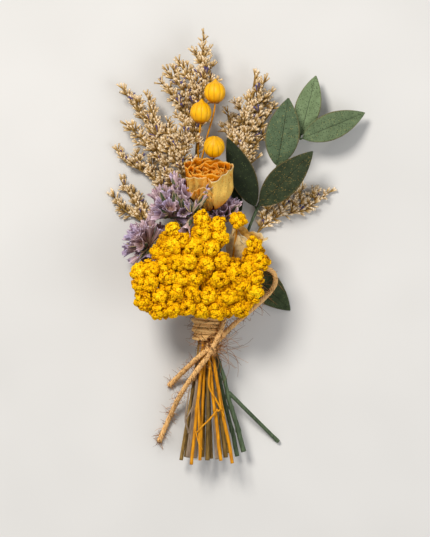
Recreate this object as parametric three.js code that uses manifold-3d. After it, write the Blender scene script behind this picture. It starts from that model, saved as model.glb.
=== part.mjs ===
// A small hand-tied bunch of dried flowers, lying on its back on a table.
// Millimetres, +Z up: the bunch lies on z = 0 with its flower tips towards +Y and its
// cut stem ends towards -Y. The origin is under the middle of the whole bunch.
import * as THREE from "three";
import { mergeVertices } from "three/addons/utils/BufferGeometryUtils.js";
import Module from "manifold-3d";

const wasm = await Module();
wasm.setup();

// ---- driving dimensions ----------------------------------------------------------------

// Smallest air gap between two pieces that touch.
const CLEARANCE = 0.3;

// The place where the twine grips the stems.
const TIE_X = -15;
const TIE_Z = 14;
const TIE_TOP_Y = -34.5;
const TIE_BOTTOM_Y = -47;
const STEM_RADIUS_AT_TIE = 0.8;
const SPREAD_AT_TIE_TOP = 1.1;

// From the tie down to the cut ends of the stems.
const CUT_LENGTH = 59;

// Jute twine: thick where it hangs free, pulled thin where it is wound tight.
const TWINE_DIAMETER = 2.5;
const WOUND_TWINE_DIAMETER = 1.6;
const WRAP_TURNS = 6.5;
const KNOT_RADIUS = 1.9;
const KNOT_STRAND_RADIUS = 0.75;
const KNOT_FLATTENING = 0.8;

const LEAF_THICKNESS = 0.6;
const LEAF_FOLD = 0.09;

const POD_RADIUS = 5.3;
const POD_HEIGHT = 10.6;
const POD_BEAK_LENGTH = 1.6;
const POD_RIBS = 10;
const POD_STALK_RADIUS = 0.55;
const POD_FORK_RADIUS = 0.9;

const ROSE_PETAL_THICKNESS = 0.5;
const ROSE_PETAL_OVERLAP = 18;

const YARROW_CLUMP_RADIUS = 4.5;
const YARROW_CLUMP_FLATNESS = 0.72;
const YARROW_STALK_RADIUS = 0.55;
const YARROW_FORK_RADIUS = 1.5;

const STATICE_FUNNEL_RADIUS = 3.6;
const STATICE_THROAT_RADIUS = 0.7;
const STATICE_HUB_RADIUS = 2.2;
const STATICE_BUD_RADIUS = 1.5;
const STATICE_SPRIG_HUB_RADIUS = 1.6;
const STATICE_STALK_RADIUS = 0.9;

const SPRAY_SHOOT_RADIUS = 1.7;
const SPRAY_TWIG_RADIUS = 0.5;
const SPRAY_STEM_TIP_RADIUS = 0.7;

// Colour and roughness of each dry material.
function finish(color, roughness) {
  return new THREE.MeshStandardMaterial({ color, roughness, metalness: 0 });
}

const YARROW_YELLOW = finish(0xe8ad05, 0.9);
const DYED_STEM = finish(0xd69a14, 0.75);
const OLIVE_STEM = finish(0x7d6226, 0.8);
const GREY_STEM = finish(0x8d7a62, 0.85);
const GREEN_STEM = finish(0x3f4f33, 0.75);
const LEAF_GREEN = finish(0x4c6046, 0.7);
const SPRAY_CREAM = finish(0xcbb48c, 0.9);
const STATICE_MAUVE = finish(0x9c8298, 0.85);
const POD_YELLOW = finish(0xf0b50c, 0.5);
const ROSE_ORANGE = finish(0xdd9a45, 0.8);
const ROSE_PEACH = finish(0xe2bd84, 0.8);
const SEPAL_OLIVE = finish(0x6a6236, 0.85);
const JUTE = finish(0xc9955a, 0.95);

const bunch = new THREE.Group();

// ---- general shapes --------------------------------------------------------------------

function addMesh(parent, name, geometry, material) {
  const mesh = new THREE.Mesh(geometry, material);
  mesh.name = name;
  parent.add(mesh);
  return mesh;
}

// Keeps only the positions, so that the corners of neighbouring faces are shared.
function weld(geometry) {
  geometry.deleteAttribute("normal");
  geometry.deleteAttribute("uv");
  return mergeVertices(geometry, 1e-4);
}

function toSolid(geometry) {
  const welded = weld(geometry);
  const vertProperties = Float32Array.from(welded.attributes.position.array);
  const triVerts = Uint32Array.from(welded.index.array);
  return new wasm.Manifold(new wasm.Mesh({ numProp: 3, vertProperties, triVerts }));
}

function toGeometry(solid) {
  const mesh = solid.getMesh();
  const geometry = new THREE.BufferGeometry();
  geometry.setAttribute("position", new THREE.BufferAttribute(mesh.vertProperties, 3));
  geometry.setIndex(new THREE.BufferAttribute(mesh.triVerts, 1));
  return geometry;
}

function joinSolids(geometries) {
  return geometries.map(toSolid).reduce((whole, piece) => whole.add(piece));
}

function smoothCurve(points) {
  const knots = points.map((point) => new THREE.Vector3(...point));
  return new THREE.CatmullRomCurve3(knots, false, "centripetal");
}

// A closed tube along a route. radiusAt gives its radius from 0 at the start to 1 at the
// end, and spanSteps says how many rings lie between two points of the route.
function tube(route, radiusAt, sides, spanSteps) {
  const curve = smoothCurve(route);
  const chord = curve.getPoint(1).sub(curve.getPoint(0)).normalize();
  const across = Math.abs(chord.z) < 0.8 ? new THREE.Vector3(0, 0, 1) : new THREE.Vector3(0, 1, 0);
  const geometry = new THREE.CylinderGeometry(1, 1, 1, sides, spanSteps * (route.length - 1));
  const position = geometry.attributes.position;
  for (let i = 0; i < position.count; i += 1) {
    const along = position.getY(i) + 0.5;
    const tangent = curve.getTangent(along);
    const side = tangent.clone().cross(across).normalize();
    const front = side.clone().cross(tangent);
    const vertex = curve.getPoint(along);
    vertex.addScaledVector(side, position.getX(i) * radiusAt(along));
    vertex.addScaledVector(front, position.getZ(i) * radiusAt(along));
    position.setXYZ(i, vertex.x, vertex.y, vertex.z);
  }
  return weld(geometry);
}

// A small rough ball, where several stalks meet.
function ball(centre, radius) {
  return new THREE.IcosahedronGeometry(radius, 0).translate(...centre);
}

const taper = (start, end) => (along) => start + (end - start) * along;

// ---- the tie: where every stem passes --------------------------------------------------

const STEM_PITCH = 2 * STEM_RADIUS_AT_TIE + CLEARANCE;
const ROW_PITCH = STEM_PITCH * Math.sin(Math.PI / 3);
const CORE_RADIUS = 2 * STEM_PITCH + STEM_RADIUS_AT_TIE;

// The stems are packed as close as they go, in rows, and open out a little upwards.
function spreadAt(y) {
  return 1 + (SPREAD_AT_TIE_TOP - 1) * (y - TIE_BOTTOM_Y) / (TIE_TOP_Y - TIE_BOTTOM_Y);
}

function tiePoint(column, row, y) {
  const x = TIE_X + column * STEM_PITCH * spreadAt(y);
  const z = TIE_Z + row * ROW_PITCH * spreadAt(y);
  return [x, y, z];
}

// A stem's route, from its cut end through its place in the tie and on to its flower.
// cut is how far short of the longest stem it ends.
function stemRoute({ column, row, foot, cut, above }) {
  const footPoint = [foot[0], TIE_BOTTOM_Y - CUT_LENGTH + cut, foot[1]];
  const tieMiddle = (TIE_BOTTOM_Y + TIE_TOP_Y) / 2;
  const heights = [TIE_BOTTOM_Y, tieMiddle, TIE_TOP_Y];
  return [footPoint, ...heights.map((y) => tiePoint(column, row, y)), ...above];
}

const STEM_SIDES = 6;
const STEM_SPAN_STEPS = 2;

// A stem is thickest at its cut end and thins to its own radius at the flower. Where the
// last span of its route is not bare, lastSpan gives the radius along that span.
function stemTube(stem, lastSpan) {
  const route = stemRoute(stem);
  const span = 1 / (route.length - 1);
  const toTie = taper(stem.footRadius, STEM_RADIUS_AT_TIE);
  const toTop = taper(STEM_RADIUS_AT_TIE, stem.topRadius);
  const radiusAt = (along) => {
    if (along < span) return toTie(along / span);
    if (lastSpan && along > 1 - span) return lastSpan((along - 1 + span) / span);
    return toTop((along - span) / (1 - span));
  };
  return tube(route, radiusAt, STEM_SIDES, STEM_SPAN_STEPS);
}

// ---- yarrow: three flat golden heads ---------------------------------------------------

const YARROW = [
  {
    name: "left",
    stem: { column: -1, row: 2, foot: [-22.8, 18.5], cut: -2.6, above: [[-20, -28, 20], [-28.5, -21, 22]] },
    fork: [-30.5, -19.5, 24],
    crown: [-36, -20, 37],
    clumps: [
      [-48.6, -12.2], [-42.6, -11.4], [-48, -19], [-42.4, -17.6], [-38.7, -24], [-34, -15],
      [-30.2, -22.6], [-46.2, -26.8], [-38.9, -31.8], [-31.4, -31], [-28.2, -15.6], [-22.2, -24],
      [-24, -29.6], [-17.7, -31.4],
    ],
  },
  {
    name: "centre",
    stem: { column: 0, row: 2, foot: [-8, 19.5], cut: -0.6, above: [[-16, -24, 21], [-18.6, -13.5, 24]] },
    fork: [-19.2, -10.6, 26],
    crown: [-21, -2, 39],
    clumps: [
      [-38.6, -2.2], [-36, -8.4], [-31.8, 0.4], [-31.5, 8.2], [-29.8, -7.4], [-23.9, -7.4],
      [-26.4, 3.4], [-20.9, 0], [-17.2, 6.4], [-17.7, 13.8], [-12.9, -0.8], [-21, -15.8],
      [-15.4, -9.2], [-8.4, 4.9], [-9.7, 11],
    ],
  },
  {
    name: "right",
    stem: { column: 1, row: 2, foot: [-2.4, 18.5], cut: -2, above: [[-9.5, -27, 20], [-5, -19.6, 23.6]] },
    fork: [-3.8, -17.2, 26],
    crown: [0, -14, 38],
    clumps: [
      [0.2, 13.2], [8, 1.1], [11.4, -7.4], [4.6, -11.2], [-1.4, -13.4], [9, -15.4], [8.4, -22.4],
      [2.4, -19.4], [-3.2, -24.2], [1.4, -30.8], [-8.8, -16.4], [-9.9, -31.4], [-14, -24.2],
      [-7.2, -6.8],
    ],
  },
];
const YARROW_DOME_DROP = 0.01;
const YARROW_FOOT_RADIUS = 0.85;
const YARROW_STALK_SWELLING = 1.4;
const YARROW_CLUMP_TURN = 1;
const YARROW_CLUMP_TWIST = 0.7;

// The clumps lie on a shallow dome, highest over the crown.
function clumpCentre(head, [x, y]) {
  const offset = Math.hypot(x - head.crown[0], y - head.crown[1]);
  return [x, y, head.crown[2] - YARROW_DOME_DROP * offset * offset];
}

// A flattened lump, each one turned a little further than the last.
function yarrowClump(centre, growth, index) {
  const geometry = new THREE.IcosahedronGeometry(YARROW_CLUMP_RADIUS + growth, 0);
  geometry.rotateX(index * YARROW_CLUMP_TURN);
  geometry.rotateZ(index * YARROW_CLUMP_TWIST);
  geometry.scale(1, 1, YARROW_CLUMP_FLATNESS);
  geometry.translate(...centre);
  return geometry;
}

function yarrowStalk(fork, centre, growth) {
  const radius = YARROW_STALK_RADIUS + growth;
  return tube([fork, centre], taper(radius * YARROW_STALK_SWELLING, radius), 4, 1);
}

// growth makes the same head larger all round, to cut room for it in its neighbours.
function yarrowHead(head, growth = 0) {
  const centres = head.clumps.map((clump) => clumpCentre(head, clump));
  const stalks = centres.map((centre) => yarrowStalk(head.fork, centre, growth));
  const clumps = centres.map((centre, index) => yarrowClump(centre, growth, index));
  return joinSolids([ball(head.fork, YARROW_FORK_RADIUS + growth), ...stalks, ...clumps]);
}

// ---- roses -----------------------------------------------------------------------------

// The cup is given by its base, the centre of its open rim and the rim's radius.
const ROSES = [
  {
    name: "rose_1", petals: 5, material: ROSE_ORANGE, rimRadius: 12.2,
    base: [-13.2, 19, 22], rim: [-14.1, 40.3, 32.6],
    stem: {
      column: 0.5, row: 1, foot: [-14.8, 14.5], cut: -0.6,
      above: [[-13.6, -20, 17.5], [-13.1, 0, 15.5], [-13.1, 12, 18.4]],
    },
  },
  {
    name: "rose_2", petals: 4, material: ROSE_PEACH, rimRadius: 8.4,
    base: [-1.4, -8.4, 15.6], rim: [6.2, 7.6, 18.6],
    stem: { column: 1.5, row: 1, foot: [-5.6, 15], cut: 0.8, above: [[-9.6, -25, 16.4], [-5.2, -15.6, 15]] },
  },
];
const ROSE_FOOT_RADIUS = 1.15;
const SEPAL_RADIUS = 2.6;
const SEPAL_HEIGHT = 3;
// Radius and height of the sepals' outline, as shares of their own radius and height.
const SEPAL_OUTLINE = [[0, -0.5], [0.5, -0.4], [0.62, 0.2], [0.5, 0.5], [0, 0.5]];
const PETAL_START = 0.1;
const PETAL_CORNER_DROP = 0.09;
const PETAL_LAYERS = 1.5;
// Heights up the cup, as shares of its length: round the outside of the heart, down to the
// floor of its open top, and round the whole cup.
const HEART_HEIGHTS = [0.16, 0.34, 0.6, 0.88];
const HEART_LIP = 0.8;
const HEART_FLOOR = 0.64;
const CUP_HEIGHTS = [0, 0.1, 0.3, 0.5, 1];

// Radius of the cup, as a share of the rim's radius, from its base to its rim: it swells
// quickly from a narrow base and then closes a little.
const CUP_BASE = 0.16;
const CUP_SWELLING = 1.5;
const CUP_CLOSING = 0.06;
function cupProfile(height) {
  const swelling = Math.min(1, CUP_BASE + CUP_SWELLING * height);
  return Math.sin(Math.PI / 2 * swelling) * (1 - CUP_CLOSING * height);
}

function roseLength(rose) {
  return new THREE.Vector3(...rose.rim).distanceTo(new THREE.Vector3(...rose.base));
}

// One cupped petal: it starts inside its neighbour on one side and ends outside the next.
function rosePetal(rose, index) {
  const length = roseLength(rose);
  const span = THREE.MathUtils.degToRad(360 / rose.petals + ROSE_PETAL_OVERLAP);
  const start = index * 2 * Math.PI / rose.petals;
  const step = ROSE_PETAL_THICKNESS + CLEARANCE;
  const geometry = new THREE.BoxGeometry(1, 1, 1, 5, 3, 1);
  const position = geometry.attributes.position;
  for (let i = 0; i < position.count; i += 1) {
    const across = position.getX(i) + 0.5;
    const up = position.getY(i) + 0.5;
    const rounded = 1 - PETAL_CORNER_DROP * (2 * across - 1) ** 2;
    const height = PETAL_START + (rounded - PETAL_START) * up;
    const shell = rose.rimRadius * cupProfile(height) - PETAL_LAYERS * step * (1 - across);
    const radius = shell + ROSE_PETAL_THICKNESS * position.getZ(i);
    const angle = start + span * across;
    position.setXYZ(i, radius * Math.sin(angle), length * height, radius * Math.cos(angle));
  }
  return weld(geometry);
}

// The petals inside stay folded round each other as one heart, open at the top.
function roseHeart(rose) {
  const length = roseLength(rose);
  const petalLayers = PETAL_LAYERS * (ROSE_PETAL_THICKNESS + CLEARANCE) + ROSE_PETAL_THICKNESS / 2;
  const radiusAt = (height) => rose.rimRadius * cupProfile(height) - petalLayers - CLEARANCE * 2;
  const outline = [new THREE.Vector2(0, SEPAL_HEIGHT / 2 + CLEARANCE)];
  for (const height of HEART_HEIGHTS) {
    outline.push(new THREE.Vector2(radiusAt(height), length * height));
  }
  outline.push(new THREE.Vector2(radiusAt(HEART_LIP) / 2, length * HEART_LIP));
  outline.push(new THREE.Vector2(0, length * HEART_FLOOR));
  return weld(new THREE.LatheGeometry(outline, 10));
}

function roseSepals() {
  const outline = SEPAL_OUTLINE.map(([radius, height]) => {
    return new THREE.Vector2(radius * SEPAL_RADIUS, height * SEPAL_HEIGHT);
  });
  return weld(new THREE.LatheGeometry(outline, 10));
}

// The outside of the whole cup, grown by the clearance, to keep other flowers off it.
function roseEnvelope(rose) {
  const length = roseLength(rose);
  const outline = [new THREE.Vector2(0, -SEPAL_HEIGHT / 2 - CLEARANCE)];
  for (const height of CUP_HEIGHTS) {
    const radius = rose.rimRadius * cupProfile(height) + CLEARANCE;
    outline.push(new THREE.Vector2(radius, length * height));
  }
  outline.push(new THREE.Vector2(0, length + CLEARANCE));
  const geometry = weld(new THREE.LatheGeometry(outline, 16));
  return toSolid(geometry.applyMatrix4(placement(rose.base, rose.rim)));
}

// Turns +Y, the way a flower is drawn, to the way the flower points.
function placement(base, tip) {
  const direction = new THREE.Vector3(...tip).sub(new THREE.Vector3(...base)).normalize();
  const turn = new THREE.Quaternion().setFromUnitVectors(new THREE.Vector3(0, 1, 0), direction);
  return new THREE.Matrix4().compose(new THREE.Vector3(...base), turn, new THREE.Vector3(1, 1, 1));
}

function placedGroup(base, tip) {
  const group = new THREE.Group();
  group.applyMatrix4(placement(base, tip));
  bunch.add(group);
  return group;
}

function addRose(rose) {
  const group = placedGroup(rose.base, rose.rim);
  for (let i = 0; i < rose.petals; i += 1) {
    addMesh(group, `${rose.name}_petal_${i + 1}`, rosePetal(rose, i), rose.material);
  }
  addMesh(group, `${rose.name}_heart`, roseHeart(rose), rose.material);
  addMesh(group, `${rose.name}_sepals`, roseSepals(), SEPAL_OLIVE);
  const stem = { ...rose.stem, footRadius: ROSE_FOOT_RADIUS, topRadius: STEM_RADIUS_AT_TIE };
  stem.above = [...stem.above, roseStemEnd(rose)];
  addMesh(bunch, `${rose.name}_stem`, stemTube(stem), OLIVE_STEM);
}

// The stem stops just short of the sepals.
function roseStemEnd(rose) {
  const end = new THREE.Vector3(0, -SEPAL_HEIGHT / 2 - CLEARANCE, 0);
  return end.applyMatrix4(placement(rose.base, rose.rim)).toArray();
}

// ---- statice: papery mauve funnels -----------------------------------------------------

const STATICE = [
  {
    name: "statice_1", hub: [-43.6, 0.5, 12.5], foot: 1.2,
    tips: [
      [-55.8, -1.5, 14], [-52.6, -7.6, 11], [-55.2, 5.6, 11], [-51.6, 9.4, 16], [-46.4, 12.6, 12],
      [-43, 11.8, 20], [-37.6, 9.6, 18], [-48.6, 1.6, 22], [-45, -6.6, 19],
    ],
    stem: {
      column: -1.5, row: 1, foot: [-24.6, 14.5], cut: 0.8,
      above: [[-24.5, -24, 16.4], [-35, -9.5, 14.5], [-41.5, -1.6, 13]],
    },
  },
  {
    name: "statice_2", hub: [-33, 15, 16], foot: 1.3,
    tips: [
      [-41.6, 20.6, 17], [-37.4, 26, 15], [-30.6, 27.4, 17], [-33.4, 20.4, 26.5], [-25.6, 26, 20],
      [-25.6, 17.4, 25], [-39.6, 15.8, 22.6], [-27.6, 23, 27], [-24.8, 12.6, 18],
    ],
    sprigs: [
      { hub: [-27, 17, 23], tips: [[-28.6, 33, 27], [-25.4, 27, 36.4]], buds: [[-32, 35.6, 30.4]] },
      { hub: [-22, 15.4, 31.4], tips: [], buds: [[-15.8, 26, 39], [-13.6, 29.4, 40], [-24.6, 21.4, 35]] },
    ],
    stem: {
      column: -1, row: 0, foot: [-21.4, 10.5], cut: 0.4,
      above: [[-20.4, -20, 13], [-27.6, 2, 13.6], [-31.8, 12, 15]],
    },
  },
  {
    name: "statice_3", hub: [-6.4, 12.4, 17], foot: 1.1,
    tips: [[-2.6, 23.4, 21], [-7.2, 20, 27], [-1.8, 18, 26], [-9.6, 15.6, 27], [1.2, 16.6, 19]],
    stem: {
      column: 1, row: 0, foot: [-9.8, 10.4], cut: -0.2,
      above: [[-10.6, -16, 13.6], [-9, -4, 12.4], [-7.4, 9.2, 15]],
    },
  },
];

// Heights along a funnel, as shares of its length: where it starts to flare, and the wall
// and the middle of its floor inside.
const FUNNEL_FLARE = 0.55;
const FUNNEL_INSIDE = 0.72;
const FUNNEL_FLOOR = 0.68;
const FUNNEL_NECK_SWELLING = 1.6;

function staticeFunnel(hub, tip, radius) {
  const length = new THREE.Vector3(...tip).distanceTo(new THREE.Vector3(...hub));
  const outline = [
    new THREE.Vector2(0, 0),
    new THREE.Vector2(STATICE_THROAT_RADIUS, 0),
    new THREE.Vector2(STATICE_THROAT_RADIUS * FUNNEL_NECK_SWELLING, length * FUNNEL_FLARE),
    new THREE.Vector2(radius, length),
    new THREE.Vector2(STATICE_THROAT_RADIUS, length * FUNNEL_INSIDE),
    new THREE.Vector2(0, length * FUNNEL_FLOOR),
  ];
  const geometry = new THREE.LatheGeometry(outline, 6);
  geometry.applyMatrix4(placement(hub, tip));
  return geometry;
}

// A sprig is a small second cluster, on a stalk from the cluster before it.
function staticeSprig({ hub, tips, buds }, stalkStart) {
  const stalk = tube([stalkStart, hub], () => STATICE_STALK_RADIUS, 5, 2);
  const open = tips.map((tip) => staticeFunnel(hub, tip, STATICE_FUNNEL_RADIUS));
  const closed = buds.map((tip) => staticeFunnel(hub, tip, STATICE_BUD_RADIUS));
  return [stalk, ball(hub, STATICE_SPRIG_HUB_RADIUS), ...open, ...closed];
}

function staticeHead({ hub, tips, sprigs = [] }) {
  const pieces = [ball(hub, STATICE_HUB_RADIUS)];
  pieces.push(...tips.map((tip) => staticeFunnel(hub, tip, STATICE_FUNNEL_RADIUS)));
  let stalkStart = hub;
  for (const sprig of sprigs) {
    pieces.push(...staticeSprig(sprig, stalkStart));
    stalkStart = sprig.hub;
  }
  return joinSolids(pieces);
}

// ---- seed pods on one forked stem ------------------------------------------------------

const POD_STEM = {
  column: -0.5, row: 1, foot: [-18.6, 15.5], cut: -0.6,
  above: [[-17.2, -18, 15.6], [-18.6, 8, 14], [-19, 30, 13.5]],
};
const POD_FORK = [-19, 38, 14.6];
const POD_FOOT_RADIUS = 0.85;
const POD_STALK_STRAIGHT_END = 2.6;
const POD_FULLNESS = 0.9;
const POD_BEAK_RADIUS = 0.5;
const POD_BEAK_ROOT = 0.3;
const POD_RINGS = 7;
// Base and pointing direction of each pod.
const PODS = [
  { base: [-11.1, 71.6, 25], towards: [0.02, 1, 0.1], bend: [-15.2, 54, 19.5] },
  { base: [-18.3, 61.6, 25], towards: [0.06, 1, 0.15], bend: [-19.4, 50, 19.5] },
  { base: [-11.6, 46, 22.4], towards: [0.03, 0.72, 0.7], bend: [-14.4, 43.4, 17.4] },
];

function podTip({ base, towards }) {
  const direction = new THREE.Vector3(...towards).normalize();
  return new THREE.Vector3(...base).add(direction).toArray();
}

// A ribbed ball that narrows to a short beak.
function podBody() {
  const outline = [new THREE.Vector2(0, 0)];
  for (let i = 1; i < POD_RINGS; i += 1) {
    const angle = Math.PI * i / POD_RINGS;
    const radius = POD_RADIUS * Math.sin(angle) ** POD_FULLNESS;
    outline.push(new THREE.Vector2(radius, POD_HEIGHT * (1 - Math.cos(angle)) / 2));
  }
  outline.push(new THREE.Vector2(POD_BEAK_RADIUS, POD_HEIGHT + POD_BEAK_LENGTH * POD_BEAK_ROOT));
  outline.push(new THREE.Vector2(0, POD_HEIGHT + POD_BEAK_LENGTH));
  return weld(new THREE.LatheGeometry(outline, POD_RIBS));
}

function podStem() {
  const stem = { ...POD_STEM, footRadius: POD_FOOT_RADIUS, topRadius: POD_STALK_RADIUS };
  stem.above = [...POD_STEM.above, POD_FORK];
  const stalks = PODS.map((pod) => {
    const place = placement(pod.base, podTip(pod));
    const straight = new THREE.Vector3(0, -POD_STALK_STRAIGHT_END, 0).applyMatrix4(place);
    const end = new THREE.Vector3(0, -CLEARANCE, 0).applyMatrix4(place);
    const route = [POD_FORK, pod.bend, straight.toArray(), end.toArray()];
    return tube(route, () => POD_STALK_RADIUS, 5, 1);
  });
  return joinSolids([stemTube(stem), ball(POD_FORK, POD_FORK_RADIUS), ...stalks]);
}

// ---- eucalyptus ------------------------------------------------------------------------

const EUCALYPTUS_STEMS = [
  {
    name: "eucalyptus_stem_1", footRadius: 1.25, topRadius: 0.6,
    column: 2, row: 0, foot: [3.4, 8.5], cut: 3.4,
    above: [[-5.4, -20, 9.4], [3, 0, 7.4], [10, 19, 9], [19.5, 38.6, 12], [30.6, 53.6, 11.6]],
  },
  {
    name: "eucalyptus_stem_2", footRadius: 1.1, topRadius: 0.6,
    column: 1.5, row: -1, foot: [0.2, 4.6], cut: 1,
    above: [[-7, -22, 7.6], [-0.6, -7, 5.6], [0.8, 13.4, 4.6]],
  },
];
// A cut side shoot that leaves the first stem below the tie and leans down to the table.
// direction is the way it sets off, reach how far it goes to the right and down the bunch,
// and bendAt and bendDrop the shares of its run and of its drop that lie before its bend.
const SIDE_TWIG = {
  leavesAtY: -75.6, direction: [23, -23, -9], reach: 23, endHeight: 1.4,
  bendAt: 0.25, bendDrop: 0.16, startRadius: 1, endRadius: 0.95,
};
const CURVE_SEARCH_STEP = 0.001;

// Each leaf runs from its base to its tip; arch lifts its middle off the straight line.
const LEAVES = [
  { base: [31.8, 56, 11], tip: [39.7, 86, 7], width: 12.8, arch: 1.5 },
  { base: [32.8, 54.4, 14], tip: [64.2, 67.4, 7], width: 13.6, arch: 1.8 },
  { base: [20.2, 40.6, 14.6], tip: [25.7, 74.4, 17], width: 17, arch: 2 },
  { base: [11.6, 21, 12.6], tip: [37.8, 47.6, 21], width: 15.6, arch: 2 },
  { base: [9, 20.6, 11.6], tip: [-4.8, 54.4, 16], width: 13, arch: 1.5 },
  { base: [0.4, 15.6, 5], tip: [-3, 31, 5], width: 8, arch: 0.8 },
  { base: [2.6, -8.6, 4.6], tip: [26.8, -31.8, 0.8], width: 15.6, arch: 1 },
];
const LEAF_LEAST_WIDTH = 0.09;
const LEAF_WIDEST = 0.86;
const LEAF_FULLNESS = 0.8;

// Half-width of a leaf, from 0 at its base to 0 at its tip, widest below the middle.
const leafProfile = (along) => Math.sin(Math.PI * along ** LEAF_WIDEST) ** LEAF_FULLNESS;

// The side shoot starts beside its stem and keeps its clearance from it.
function sideTwig(stem) {
  const curve = smoothCurve(stemRoute(stem));
  let share = 0;
  while (curve.getPoint(share).y < SIDE_TWIG.leavesAtY) share += CURVE_SEARCH_STEP;
  const leaves = curve.getPoint(share);
  const tangent = curve.getTangent(share);
  const across = new THREE.Vector3(...SIDE_TWIG.direction);
  across.addScaledVector(tangent, -across.dot(tangent)).normalize();
  const toTie = (CUT_LENGTH - stem.cut + leaves.y - TIE_BOTTOM_Y) / (CUT_LENGTH - stem.cut);
  const stemRadius = taper(stem.footRadius, STEM_RADIUS_AT_TIE)(toTie);
  const start = leaves.addScaledVector(across, stemRadius + SIDE_TWIG.startRadius + CLEARANCE);
  const { reach, endHeight, bendAt, bendDrop } = SIDE_TWIG;
  const bendHeight = start.z + (endHeight - start.z) * bendDrop;
  const bend = [start.x + reach * bendAt, start.y - reach * bendAt, bendHeight];
  const end = [start.x + reach, start.y - reach, endHeight];
  const radiusAt = taper(SIDE_TWIG.startRadius, SIDE_TWIG.endRadius);
  return tube([start.toArray(), bend, end], radiusAt, STEM_SIDES, 3);
}

function leafBlade({ base, tip, width, arch }) {
  const from = new THREE.Vector3(...base);
  const run = new THREE.Vector3(...tip).sub(from);
  const side = run.clone().cross(new THREE.Vector3(0, 0, 1)).normalize();
  const face = side.clone().cross(run).normalize();
  const geometry = new THREE.BoxGeometry(1, 1, 1, 2, 8, 1);
  const position = geometry.attributes.position;
  for (let i = 0; i < position.count; i += 1) {
    const along = position.getY(i) + 0.5;
    const across = position.getX(i) * width * Math.max(leafProfile(along), LEAF_LEAST_WIDTH);
    const middle = arch * Math.sin(Math.PI * along) + LEAF_FOLD * Math.abs(across);
    const lift = middle + LEAF_THICKNESS * position.getZ(i);
    const vertex = from.clone().addScaledVector(run, along);
    vertex.addScaledVector(side, across).addScaledVector(face, lift);
    position.setXYZ(i, vertex.x, vertex.y, vertex.z);
  }
  return weld(geometry);
}

// ---- sea lavender sprays ---------------------------------------------------------------

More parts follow.
